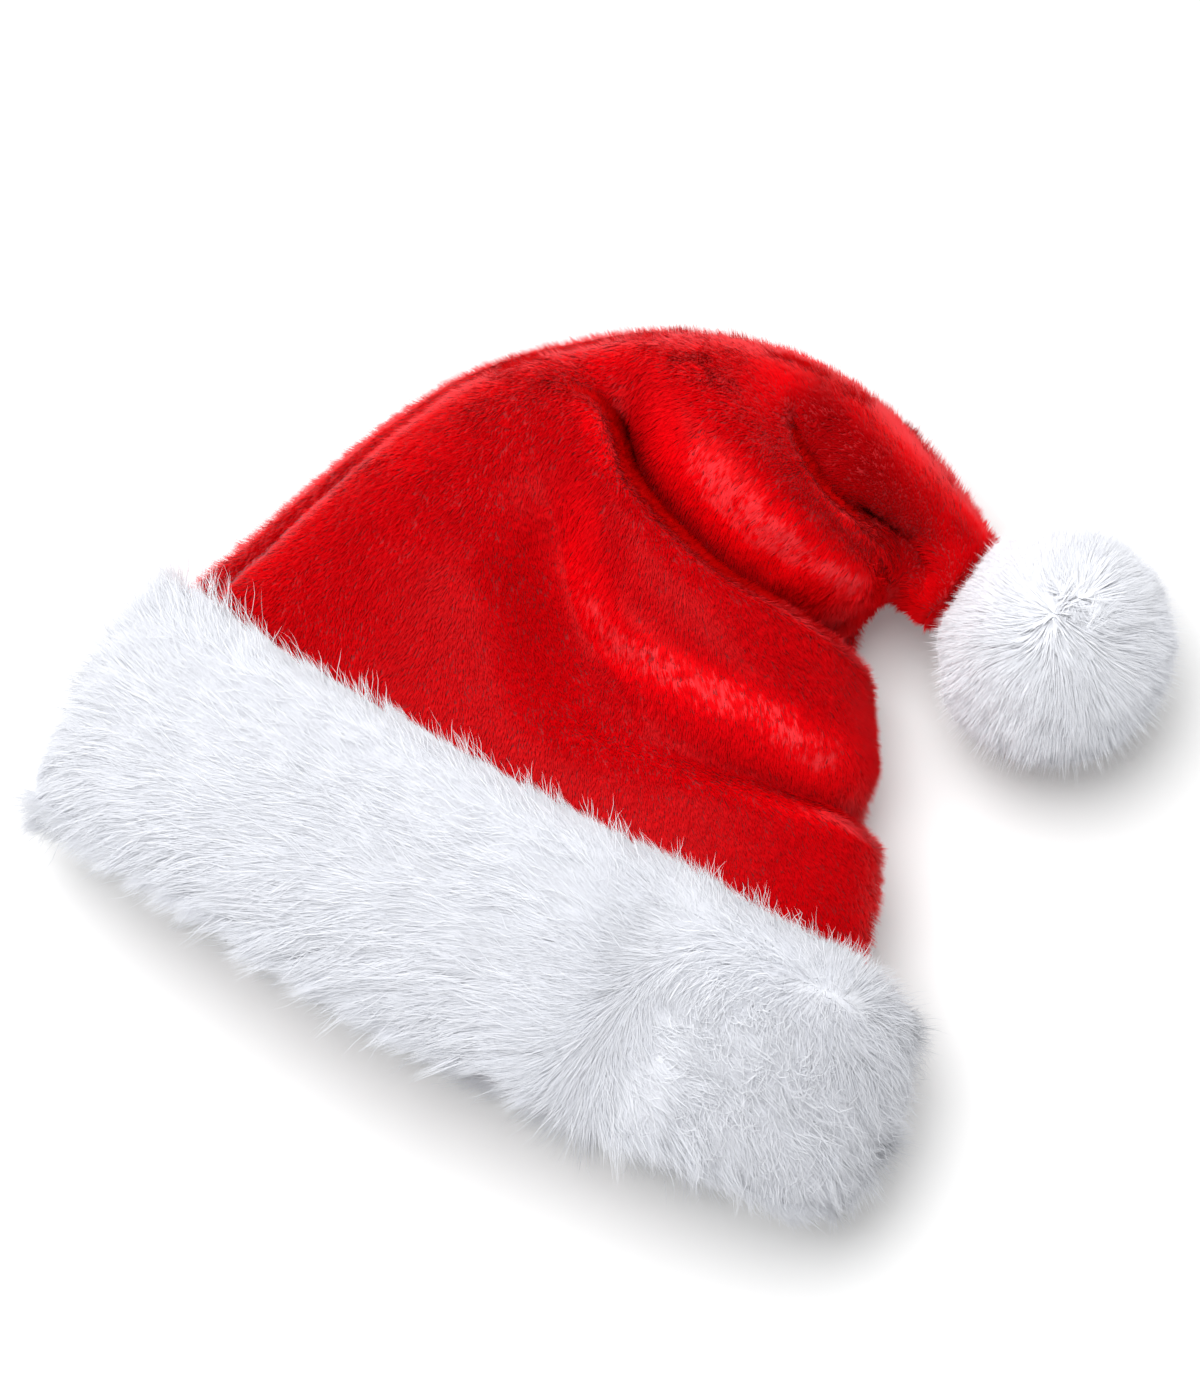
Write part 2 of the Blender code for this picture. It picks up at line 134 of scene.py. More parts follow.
def cell_luck(cells: Array, seed: int) -> Array:
    """Fixed random numbers from 0 to 1 for whole-numbered cells in space, three for each cell.

    The three whole numbers of a cell are multiplied by large odd numbers and mixed with the seed and with
    shifted copies of themselves.

    Args:
        cells: Whole numbers, with three in the last axis.
        seed: Gives another set of numbers.

    Returns:
        Numbers with the shape of cells.
    """
    cells = cells.astype(np.int64).astype(np.uint64)
    mixed = cells[..., 0] * np.uint64(73856093) ^ cells[..., 1] * np.uint64(19349663)
    mixed ^= cells[..., 2] * np.uint64(83492791) ^ np.uint64(seed * 2654435761)
    luck = []
    for salt in (0x9E3779B97F4A7C15, 0xC2B2AE3D27D4EB4F, 0x165667B19E3779F9):
        value = (mixed ^ (mixed >> np.uint64(29))) * np.uint64(salt)
        value = (value ^ (value >> np.uint64(32))) * np.uint64(0xD6E8FEB86659FD93)
        luck.append((value >> np.uint64(40)).astype(float) / float(1 << 24))
    return np.stack(luck, -1)


def drift(places: Array, size: float, seed: int) -> Array:
    """A smooth random vector field: the lucks of the eight cells round a place, blended by smoothstep.

    Args:
        places: Points in metres.
        size: Width of a cell in metres.
        seed: Gives another field.

    Returns:
        Vectors whose parts run from -1 to 1.
    """
    cell = np.floor(places / size)
    share = smoothstep(places / size - cell)
    total = np.zeros(places.shape)
    for corner in np.ndindex(2, 2, 2):
        weight = np.where(corner, share, 1 - share).prod(-1, keepdims=True)
        total += weight * cell_luck(cell + corner, seed)
    return total * 2 - 1


def locks(places: Array, size: float, seed: int) -> tuple[Array, Array]:
    """Gathers places into locks: each belongs to the nearest of the middles, of which each cell has one.

    Args:
        places: Points in metres.
        size: Width of a cell, and so about the width of a lock.
        seed: Gives other locks.

    Returns:
        Each place's lock middle, and the three fixed random numbers of its lock.
    """
    home = np.floor(places / size)
    best = np.full(len(places), np.inf)
    middle, luck = np.zeros(places.shape), np.zeros(places.shape)
    for step in np.ndindex(3, 3, 3):
        cell = home + np.array(step) - 1
        candidate = (cell + cell_luck(cell, seed)) * size
        distance = ((candidate - places) ** 2).sum(-1)
        nearer = distance < best
        best = np.where(nearer, distance, best)
        middle = np.where(nearer[:, None], candidate, middle)
        luck = np.where(nearer[:, None], cell_luck(cell, seed + 1), luck)
    return middle, luck


@dataclass(frozen=True)
class Stir:
    """A smooth random field of some strength, with cells of some width in metres."""

    strength: float
    size: float
    seed: int

    def at(self, places: Array) -> Array:
        """The field's vector at each place."""
        return self.strength * drift(places, self.size, self.seed)

    def level(self, places: Array) -> Array:
        """The first part of the field's vector at each place."""
        return self.at(places)[:, 0]


@dataclass
class Roots:
    """Points on a surface from which blades grow."""

    place: Array
    normal: Array
    along: Array  # towards the next row
    around: Array  # towards the next column
    row: Array
    column: Array

    def keep(self, chosen: slice) -> "Roots":
        """Only the chosen roots."""
        return Roots(*(values[chosen] for values in vars(self).values()))


@dataclass
class Grid:
    """Rows and columns of points on a surface whose normals point outwards."""

    points: Array
    loop: bool = False  # the last column joins the first

    def corners(self) -> Array:
        """The indices of each cell's four corners.

        Returns:
            Rows and columns of four indices.
        """
        rows, columns = self.points.shape[:2]
        index = np.arange(rows * columns).reshape(rows, columns)
        if self.loop:
            index = np.concatenate((index, index[:, :1]), 1)
        return cell_corners(index)

    def normals(self) -> Array:
        """The outward normal at each point: the slope along the rows crossed with that across them.

        Returns:
            A unit normal for each point.
        """
        along = np.gradient(self.points, axis=0)
        if self.loop:
            around = np.roll(self.points, -1, axis=1) - np.roll(self.points, 1, axis=1)
        else:
            around = np.gradient(self.points, axis=1)
        return unit(np.cross(along, around))

    def scatter(self, count: int, weight: Callable[[Array, Array], Array], seed: int) -> Roots:
        """Spreads roots evenly over the surface: a cell's share of them is its area times its weight.

        Args:
            count: How many roots.
            weight: Gives each cell's weight from its middle and its outward normal.
            seed: Of the random draws.

        Returns:
            The roots.
        """
        rng = np.random.default_rng(seed)
        corners = self.corners()
        columns = corners.shape[1]
        corners = corners.reshape(-1, 4)
        cell = self.points.reshape(-1, 3)[corners]
        along = (cell[:, 1] + cell[:, 2] - cell[:, 0] - cell[:, 3]) / 2
        around = (cell[:, 3] + cell[:, 2] - cell[:, 0] - cell[:, 1]) / 2
        normal = np.cross(along, around)
        area = np.linalg.norm(normal, axis=-1)
        normal = unit(normal)
        total = np.cumsum(area * weight(cell.mean(1), normal))
        chosen = np.minimum(np.searchsorted(total, rng.random(count) * total[-1]), len(total) - 1)
        down, over = rng.random((2, count, 1))

        def within(values: Array) -> Array:
            """A value of each corner, blended to the place of each root."""
            a, b, c, d = np.moveaxis(values, 1, 0)
            return blend(blend(a, b, down), blend(d, c, down), over)

        place = within(cell[chosen])
        smooth = self.normals().reshape(-1, 3)[corners[chosen]]
        return Roots(
            place,
            unit(within(smooth)),
            unit(along[chosen]),
            unit(around[chosen]),
            chosen // columns + down[:, 0],
            chosen % columns + over[:, 0],
        )


@dataclass
class Blades:
    """Loose blades: points, the triangles between them, places on the bake map and normals for shading."""

    points: Array
    triangles: Array
    uv: Array
    normals: Array

    def __add__(self, other: "Blades") -> "Blades":
        """Both sets of blades in one.

        Args:
            other: The blades that are added.

        Returns:
            All the blades.
        """
        return Blades(
            np.concatenate((self.points, other.points)),
            np.concatenate((self.triangles, other.triangles + len(self.points))),
            np.concatenate((self.uv, other.uv)),
            np.concatenate((self.normals, other.normals)),
        )


@dataclass(frozen=True)
class Pile:
    """How one layer of pile or fur is cut and combed. Each blade is a strip that narrows to its tip."""

    length: float
    width: float
    steps: int = 2  # cells along a blade
    stand: float = 0.7  # share of the surface's normal in a blade's heading at its root
    lie: float = 0.25  # the same at its tip
    poise: float = 0.0  # how much further up it stands than it is shaded
    stray: float = 0.15  # how far single blades leave the comb
    wander: float = 0.4  # how far whole locks leave it, in radians
    lock: float = 0.006  # width of a lock
    gather: float = 0.5  # how far a lock's tips come together
    wave: float = 0.0  # width of the waves in a blade, as a share of its length
    turns: float = 1.0  # number of those waves
    shortest: float = 0.6
    roll: float = 0.15  # how far blades are turned about their own length
    soft: float = 0.0  # 0 shades a blade as a strip that faces outwards, 1 as the surface that bears it
    glint: float = 0.5  # how far single blades catch the light differently
    own: float = 0.5  # share of a blade's tone that is its own, not its place's
    lift: float = 0.0  # how far blades that face sideways are shaded as if they faced up
    clear: float = 0.0003  # the least height over the floor
    clear_spread: float = 0.0010  # how much more than that some blades have
    seed: int = 1

    def grow(
        self,
        roots: Roots,
        comb: Array,
        tone: Array | float = 0.5,
        scale: Array | float = 1.0,
        flat: Array | float = 0.0,
    ) -> Blades:
        """Grows one blade from each root.

        A blade's line is its root plus its length times the heading at its root, bent steadily into the
        heading at its tip, plus a pull towards the middle of its lock that rises with the power 1.5 of the
        way along. Its points are then raised to their least height over the floor.

        Args:
            roots: Where the blades grow.
            comb: The direction in which they lie at each root.
            tone: From 0, dark, to 1, light, of the blades at each root.
            scale: Their length as a share of the pile's.
            flat: From 0, standing as the pile does, to 1, brushed down onto the surface.

        Returns:
            The blades.
        """
        rng = np.random.default_rng(self.seed)
        count = len(roots.place)
        middle, luck = locks(roots.place, self.lock, self.seed)
        comb = across(unit(comb), roots.normal)
        swing = (luck[:, :1] - 0.5) * 2 * self.wander
        comb = comb * np.cos(swing) + np.cross(roots.normal, comb) * np.sin(swing)
        stray = rng.normal(size=(count, 3)) * self.stray
        upright = 1 - np.broadcast_to(flat, count)[:, None]
        first = unit(blend(comb, roots.normal, self.stand * upright))
        last = unit(blend(comb, roots.normal, self.lie * upright))
        shade = self.shading(roots.normal, first, last, stray)
        first, last = (unit(blend(way, roots.normal, self.poise * upright)) for way in (first, last))
        first = unit(first + stray / 2)
        last = unit(last + stray)
        length = self.length * blend(self.shortest, 1, rng.random((count, 1))) * blend(0.8, 1.2, luck[:, 1:2])
        length = length * np.broadcast_to(scale, count)[:, None]
        share = np.linspace(0, 1, self.steps + 1)[:, None]
        line = roots.place[:, None] + length[:, None] * (
            first[:, None] * share + (last - first)[:, None] * share**2 / 2
        )
        line = line + across(middle - roots.place, roots.normal)[:, None] * self.gather * share**1.5
        if self.wave:
            heading = unit(first + last)
            side = unit(np.cross(heading, roots.normal))
            phase = rng.random((count, 1, 1)) * TURN + share * self.turns * TURN
            lift = np.cross(side, heading)[:, None] * np.cos(phase) + side[:, None] * np.sin(phase)
            line = line + lift * share * self.wave * length[:, None]
        lowest = FLOOR + self.clear + self.clear_spread * rng.random((count, 1))
        line[..., 2] = np.maximum(line[..., 2], lowest)
        front = unit(shade.mean(1)) + rng.normal(size=(count, 3)) * self.roll
        side = unit(np.cross(unit(line[:, -1] - line[:, 0]), front))
        tone = blend(np.broadcast_to(tone, count), rng.random(count), self.own)
        return self.strips(line, side, shade, tone)

    def shading(self, normal: Array, first: Array, last: Array, stray: Array) -> Array:
        """The normal that shades each point of a blade: between one across its heading and the surface's own.

        Args:
            normal: The surface's own normal at each root.
            first: The heading at each root.
            last: The heading at each tip.
            stray: How far each blade leaves the comb.

        Returns:
            A normal for each step of each blade.
        """
        share = np.linspace(0, 1, self.steps + 1)[:, None]
        heading = unit(first[:, None] + (last - first)[:, None] * share)
        facing = unit(across(np.broadcast_to(normal[:, None], heading.shape), heading))
        shade = blend(facing, normal[:, None], self.soft) + stray[:, None] * self.glint
        shade[..., 2] += self.lift * (1 - normal[:, 2:])
        return unit(shade)

    def strips(self, line: Array, side: Array, shade: Array, tone: Array) -> Blades:
        """Makes a strip along each line, with two points at each step and one at the tip.

        Args:
            line: The points along each blade.
            side: The direction of each blade's width.
            shade: The normal that shades each point of the line.
            tone: Each blade's place across the bake map, from 0 to 1.

        Returns:
            The blades.
        """
        count, steps = len(line), self.steps
        taper = np.sqrt(1 - (np.arange(steps) / steps) ** 2)
        half = side[:, None] * (self.width / 2 * taper)[:, None]
        points = np.empty((count, 2 * steps + 1, 3))
        points[:, 0:-1:2] = line[:, :-1] - half
        points[:, 1:-1:2] = line[:, :-1] + half
        points[:, -1] = line[:, -1]
        cell = np.array(((0, 1, 2), (1, 3, 2)))
        strip = [triangle for step in range(steps) for triangle in cell + 2 * step][:-1]
        triangles = np.array(strip) + (np.arange(count) * (2 * steps + 1))[:, None, None]
        uv = np.empty((count, 2 * steps + 1, 2))
        offset = np.tile((-1.0, 1.0), steps + 1)[: 2 * steps + 1] * MAP_WIDTH
        offset[-1] = 0
        uv[..., 0] = blend(MAP_MARGIN, 1 - MAP_MARGIN, tone[:, None]) + offset
        uv[..., 1] = blend(MAP_MARGIN, 1 - MAP_MARGIN, np.minimum(np.arange(2 * steps + 1) // 2 / steps, 1))
        normals = np.repeat(shade, 2, axis=1)[:, :-1]
        whole = (values.reshape(-1, values.shape[-1]) for values in (points, triangles, uv, normals))
        return Blades(*whole)


@dataclass(frozen=True)
class BladeFinish:
    """Pile or fur: darker at its roots and lighter at its tips, with each blade a little different."""

    name: str
    root: Colour
    tip: Colour
    dark: float  # brightness of the darkest blades, where 1 leaves the colour as it is
    light: float  # the same for the lightest
    roughness: float
    gloss: float
    gloss_tint: Colour
    lightest_and_sheen: Colour  # what the lightest blades' colour turns to, which on the red pile is a painted sheen where its tone is painted lightest

    def material(self) -> bpy.types.Material:
        """The material, coloured through the bake map.

        Returns:
            The material.
        """
        material, tree, shader = new_material(self.name)
        place = add_node(tree, "UVMap", {}, uv_map=BAKE_MAP)
        parts = add_node(tree, "SeparateXYZ", {0: place.outputs["UV"]})
        length = add_ramp(tree, parts.outputs["Y"], (self.root, self.tip), (0, TIP_FROM))
        tone = {"Value": parts.outputs["X"]}
        bright = add_node(tree, "MapRange", {**tone, "To Min": self.dark, "To Max": self.light})
        # The colour of the lightest tones turns towards the finish's lightest colour: on the red pile a
        # painted sheen.
        lightest = add_node(tree, "MapRange", {**tone, "From Min": LIGHTEST_AND_SHEEN_FROM})
        colour = add_node(tree, "VectorMath", {0: length, "Scale": bright.outputs[0]}, operation="SCALE")
        sheen_mix = tree.nodes.new("ShaderNodeMix")
        sheen_mix.data_type = "RGBA"
        first, second = [socket for socket in sheen_mix.inputs if socket.enabled and socket.type == "RGBA"]
        second.default_value = (*self.lightest_and_sheen, 1)
        tree.links.new(lightest.outputs[0], sheen_mix.inputs[0])
        tree.links.new(colour.outputs[0], first)
        result = [socket for socket in sheen_mix.outputs if socket.enabled][0]
        tree.links.new(result, shader.inputs["Base Color"])
        shader.inputs["Roughness"].default_value = self.roughness
        shader.inputs["Specular IOR Level"].default_value = self.gloss
        shader.inputs["Specular Tint"].default_value = (*self.gloss_tint, 1)
        return material


@dataclass(frozen=True)
class ClothFinish:
    """Cloth or backing between and under the blades: mottled, with a fine grain that also raises it."""

    name: str
    dark: Colour
    light: Colour
    mottle: float  # cells a metre of the mottling
    grain: float  # cells a metre of the grain
    relief: float  # height of the grain in metres
    roughness: float
    sheen: float
    spread: tuple[float, float] = (0.35, 0.65)  # the pattern's values that are wholly dark and wholly light

    def material(self) -> bpy.types.Material:
        """The material, patterned by Object coordinates.

        Returns:
            The material.
        """
        material, tree, shader = new_material(self.name)
        place = {"Vector": tree.nodes.new("ShaderNodeTexCoord").outputs["Object"]}
        patches = add_node(tree, "TexNoise", {**place, "Scale": self.mottle, "Detail": 3}).outputs[0]
        grain = add_node(tree, "TexNoise", {**place, "Scale": self.grain, "Detail": 2}).outputs[0]
        half = add_node(tree, "Math", {0: patches, 1: 0.5}, operation="MULTIPLY").outputs[0]
        both = add_node(tree, "Math", {0: grain, 1: 0.5, 2: half}, operation="MULTIPLY_ADD").outputs[0]
        colour = add_ramp(tree, both, (self.dark, self.light), self.spread)
        tree.links.new(colour, shader.inputs["Base Color"])
        relief = add_node(tree, "Bump", {"Distance": self.relief, "Height": grain})
        tree.links.new(relief.outputs[0], shader.inputs["Normal"])
        shader.inputs["Roughness"].default_value = self.roughness
        shader.inputs["Sheen Weight"].default_value = self.sheen
        return material


def new_material(name: str) -> tuple[bpy.types.Material, bpy.types.NodeTree, bpy.types.Node]:
    """A material with its node tree and its Principled BSDF.

    Args:
        name: The material's name.

    Returns:
        The material, its node tree and its shader.
    """
    material = bpy.data.materials.new(name)
    material.use_nodes = True
    return material, material.node_tree, material.node_tree.nodes["Principled BSDF"]


def add_node(
    tree: bpy.types.NodeTree, kind: str, inputs: dict[str | int, Value], **settings: str
) -> bpy.types.Node:
    """Adds a shader node.

    Args:
        tree: Where it goes.
        kind: Its type, without the word ShaderNode.
        inputs: A number or another node's output for each input that needs one.
        settings: Its other properties.

    Returns:
        The node.
    """
    node = tree.nodes.new("ShaderNode" + kind)
    for name, value in settings.items():
        setattr(node, name, value)
    for name, value in inputs.items():
        if isinstance(value, bpy.types.NodeSocket):
            tree.links.new(value, node.inputs[name])
        else:
            node.inputs[name].default_value = value
    return node


def add_ramp(
    tree: bpy.types.NodeTree,
    value: bpy.types.NodeSocket,
    colours: Sequence[Colour],
    positions: Sequence[float],
) -> bpy.types.NodeSocket:
    """Colours a value from 0 to 1 by a ramp between two colours at two positions.

    Args:
        tree: Where the ramp goes.
        value: The output that it reads.
        colours: Its two colours.
        positions: The values that have those colours.

    Returns:
        The ramp's colour output.
    """
    ramp_node = add_node(tree, "ValToRGB", {0: value})
    for element, colour, position in zip(ramp_node.color_ramp.elements, colours, positions):
        element.color = (*colour, 1)
        element.position = position
    return ramp_node.outputs["Color"]


def add_piece(
    name: str,
    points: Array,
    faces: Array,
    finishes: Sequence[bpy.types.Material],
    which: Array | None = None,
    uv: Array | None = None,
) -> bpy.types.Object:
    """Puts points and faces into a new object at the origin, which rides on the hat.

    Args:
        name: The piece's name.
        points: Its points in metres.
        faces: Three or four indices for each face.
        finishes: Its materials.
        which: Each face's material index, or None for the first.
        uv: A place on the bake map for each point, or None for a piece that needs no map.

    Returns:
        The object.
    """
    mesh = bpy.data.meshes.new(name)
    sides = faces.shape[1]
    mesh.vertices.add(len(points))
    mesh.vertices.foreach_set("co", np.ascontiguousarray(points, np.float32).ravel())
    mesh.loops.add(faces.size)
    mesh.loops.foreach_set("vertex_index", np.ascontiguousarray(faces, np.int32).ravel())
    mesh.polygons.add(len(faces))
    mesh.polygons.foreach_set("loop_start", np.arange(0, faces.size, sides, dtype=np.int32))
    mesh.polygons.foreach_set("loop_total", np.full(len(faces), sides, np.int32))
    mesh.polygons.foreach_set("use_smooth", np.ones(len(faces), bool))
    for material in finishes:
        mesh.materials.append(material)
    if which is not None:
        mesh.polygons.foreach_set("material_index", np.ascontiguousarray(which, np.int32))
    mesh.update(calc_edges=True)
    if uv is not None:
        layer = mesh.uv_layers.new(name=BAKE_MAP)
        layer.data.foreach_set("uv", np.ascontiguousarray(uv[faces.ravel()], np.float32).ravel())
    mesh.validate()
    piece = bpy.data.objects.new(name, mesh)
    bpy.context.scene.collection.objects.link(piece)
    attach(piece, BODY)
    LOG.info("%s: %d faces", name, len(faces))
    return piece


def add_blades(name: str, blades: Blades, finish: bpy.types.Material) -> bpy.types.Object:
    """Puts blades into a new piece, shaded by their own normals.

    Args:
        name: The piece's name.
        blades: The blades.
        finish: Their material.

    Returns:
        The object.
    """
    piece = add_piece(name, blades.points, blades.triangles, [finish], uv=blades.uv)
    piece.data.normals_split_custom_set_from_vertices(blades.normals.tolist())
    return piece


def stand_for(node: str) -> None:
    """Hides a node, in whose place a piece has been built."""
    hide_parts(node)


def wall(outer: Array, inner: Array) -> tuple[Array, Array, Array]:
    """A closed wall between two grids of the same shape, with a strip along each edge.

    Args:
        outer: Rows and columns of points on the outer side.
        inner: The same on the inner side.

    Returns:
        Points, faces of four, and 0 for each outer face and 1 for the rest.
    """
    rows, columns = outer.shape[:2]
    index = np.arange(rows * columns).reshape(rows, columns)
    side = cell_corners(index)[..., [0, 3, 2, 1]].reshape(-1, 4)
    shift = rows * columns
    edges = (index[0], index[-1][::-1], index[::-1, 0], index[:, -1])
    rims = [np.stack((edge[1:], edge[:-1], edge[:-1] + shift, edge[1:] + shift), -1) for edge in edges]
    faces = np.concatenate([side, side[:, ::-1] + shift, *rims])
    points = np.concatenate((outer.reshape(-1, 3), inner.reshape(-1, 3)))
    return points, faces, np.arange(len(faces)) >= len(side)


@dataclass(frozen=True)
class Section:
    """A line across the crown as it lies, from its left edge to its right edge.

    The x values are shares of the seams' half width, the y values of the crown's reach, top and bottom of its
    loft, and seam of the section's own height.
    """

    left_x: float
    left_y: float
    right_x: float
    right_y: float
    top: float
    bottom: float
    seam: float


@dataclass(frozen=True)
class Fold:
    """A fold in the crown's upper side, or a band of its pile, along shares of the half width and the reach.

    A fold's depth is a share of the loft, and a ridge has a negative one. A band's depth is how far its pile
    is brushed down and painted lighter as a painted highlight; a shade's is how far its pile is painted darker
    as a painted shade. The widths are shares of the half width, low towards the cuff and high towards the tip,
    and fade is the share of its length over which it runs out.
    """

    line: tuple[tuple[float, float], ...]
    depth: float
    low: float
    high: float
    fade: float
    rise: float = 0.0  # share of its length over which it sets in


SECTIONS = (
    Section(-0.940, 0.155, 0.945, 0.150, 0.870, 0.040, 0.44),
    Section(-0.868, 0.310, 0.850, 0.285, 0.950, -0.040, 0.42),
    Section(-0.787, 0.465, 0.745, 0.410, 0.990, -0.065, 0.40),
    Section(-0.690, 0.610, 0.662, 0.510, 1.000, -0.070, 0.40),
    Section(-0.575, 0.720, 0.614, 0.580, 1.000, -0.070, 0.40),
    Section(-0.430, 0.820, 0.592, 0.622, 0.985, -0.060, 0.40),
    Section(-0.240, 0.918, 0.586, 0.656, 0.950, -0.035, 0.41),
    Section(-0.010, 0.982, 0.600, 0.684, 0.900, 0.020, 0.42),
    Section(0.230, 1.000, 0.634, 0.695, 0.835, 0.060, 0.43),
    Section(0.460, 0.972, 0.676, 0.690, 0.740, 0.130, 0.45),
    Section(0.640, 0.922, 0.716, 0.680, 0.650, 0.200, 0.48),
)
DEEP_CREASE = ((0.72, 0.548), (0.60, 0.550), (0.468, 0.540), (0.366, 0.533), (0.261, 0.528), (0.164, 0.539),
               (0.077, 0.557), (-0.016, 0.580), (-0.101, 0.615), (-0.168, 0.665), (-0.223, 0.706),
               (-0.285, 0.728), (-0.357, 0.722), (-0.431, 0.682))
DEEP_RIDGE = ((0.60, 0.520), (0.436, 0.490), (0.314, 0.480), (0.179, 0.490), (0.054, 0.512), (-0.071, 0.548),
              (-0.165, 0.590), (-0.277, 0.650), (-0.338, 0.680))
LOW_CREASE = ((0.96, 0.262), (0.794, 0.250), (0.688, 0.222), (0.564, 0.199), (0.433, 0.177), (0.325, 0.165),
              (0.157, 0.140), (0.0, 0.120), (-0.25, 0.10))
SOFT_VALLEY = ((0.45, 0.200), (0.219, 0.226), (0.059, 0.241), (-0.049, 0.285), (-0.156, 0.372),
               (-0.230, 0.437), (-0.343, 0.487), (-0.506, 0.558))
TIP_CREASE = ((0.68, 0.722), (0.582, 0.739), (0.539, 0.744), (0.453, 0.749), (0.366, 0.758), (0.279, 0.797),
              (0.209, 0.843), (0.170, 0.900))
POCKET = ((0.72, 0.562), (0.60, 0.564), (0.50, 0.562), (0.42, 0.552))
LOBE_END = ((0.60, 0.640), (0.52, 0.610), (0.44, 0.600), (0.36, 0.600))
LOBE = ((0.60, 0.630), (0.30, 0.670), (0.02, 0.760), (-0.20, 0.830))
BACK_RIDGE = ((0.70, 0.390), (0.40, 0.385), (0.05, 0.440), (-0.12, 0.520), (-0.25, 0.580))
FOLDS = (
    Fold(DEEP_CREASE, 0.230, 0.075, 0.170, 0.22),
    Fold(DEEP_RIDGE, -0.055, 0.130, 0.055, 0.40, 0.20),
    Fold(LOW_CREASE, 0.115, 0.070, 0.150, 0.70),
    Fold(SOFT_VALLEY, 0.190, 0.260, 0.140, 0.45, 0.35),
    Fold(TIP_CREASE, 0.150, 0.045, 0.170, 0.40),
    Fold(POCKET, 0.110, 0.050, 0.065, 0.50),
    Fold(LOBE, -0.050, 0.110, 0.140, 0.50, 0.15),
    Fold(LOBE_END, -0.050, 0.060, 0.080, 0.40, 0.20),
    Fold(BACK_RIDGE, -0.050, 0.110, 0.110, 0.50, 0.35),
)
# Bands, where the pile is brushed down and painted lighter and pinker as a painted highlight.
HIGH_BAND = ((-0.13, 0.785), (-0.04, 0.715), (0.08, 0.670), (0.19, 0.643), (0.31, 0.620), (0.43, 0.608),
             (0.56, 0.620))
BROAD_BAND = ((-0.36, 0.520), (-0.272, 0.462), (-0.169, 0.421), (-0.063, 0.356), (0.060, 0.306),
              (0.237, 0.303), (0.377, 0.308), (0.530, 0.313), (0.657, 0.315), (0.760, 0.330))
RIDGE_BAND = ((-0.10, 0.565), (-0.18, 0.600), (-0.25, 0.640), (-0.31, 0.680))
TIP_BAND = ((0.26, 0.790), (0.34, 0.742), (0.44, 0.720), (0.56, 0.715))
LOW_BAND = ((0.86, 0.225), (0.72, 0.190), (0.58, 0.165), (0.44, 0.145))
SIDE_BAND = ((-0.88, 0.300), (-0.70, 0.580), (-0.47, 0.770), (-0.12, 0.920), (0.25, 0.960))
POINT_BAND = ((0.35, 0.965), (0.57, 0.900), (0.74, 0.845))
TIP_SHADE = ((0.14, 0.955), (0.277, 0.890), (0.488, 0.808), (0.700, 0.735))
BANDS = (
    Fold(HIGH_BAND, 1.25, 0.100, 0.160, 0.06, 0.40),
    Fold(BROAD_BAND, 1.15, 0.095, 0.120, 0.10, 0.60),
    Fold(RIDGE_BAND, 0.50, 0.050, 0.060, 0.40, 0.40),
    Fold(TIP_BAND, 0.55, 0.060, 0.040, 0.40, 0.30),
    Fold(LOW_BAND, 0.50, 0.045, 0.050, 0.60),
    Fold(SIDE_BAND, 0.35, 0.220, 0.120, 0.30, 0.20),
    Fold(POINT_BAND, 0.35, 0.100, 0.100, 0.30, 0.30),
)
# A painted shade along the tip, where the pile is painted darker.
SHADES = (Fold(TIP_SHADE, 1.0, 0.110, 0.110, 0.15, 0.30),)


@dataclass(frozen=True)
class Panel:
    """One of the crown's two panels, which runs from one seam to the other."""

    name: str
    node: str
    seams: tuple[float, float]  # its two seams, in radians round the section
    rows: int
    columns: int
    blades: int
    seed: int
    cut: tuple[float, float]  # its width and length before it was sewn
    area: float  # of that cut


PLUSH = Pile(
    length=0.0038,
    width=0.00048,
    steps=1,
    stand=0.45,
    lie=0.24,
    poise=0.12,
    stray=0.09,
    wander=0.18,
    lock=0.0026,
    gather=0.08,
    soft=0.4,
    glint=0.11,
    own=0.05,
    lift=0.5,
)


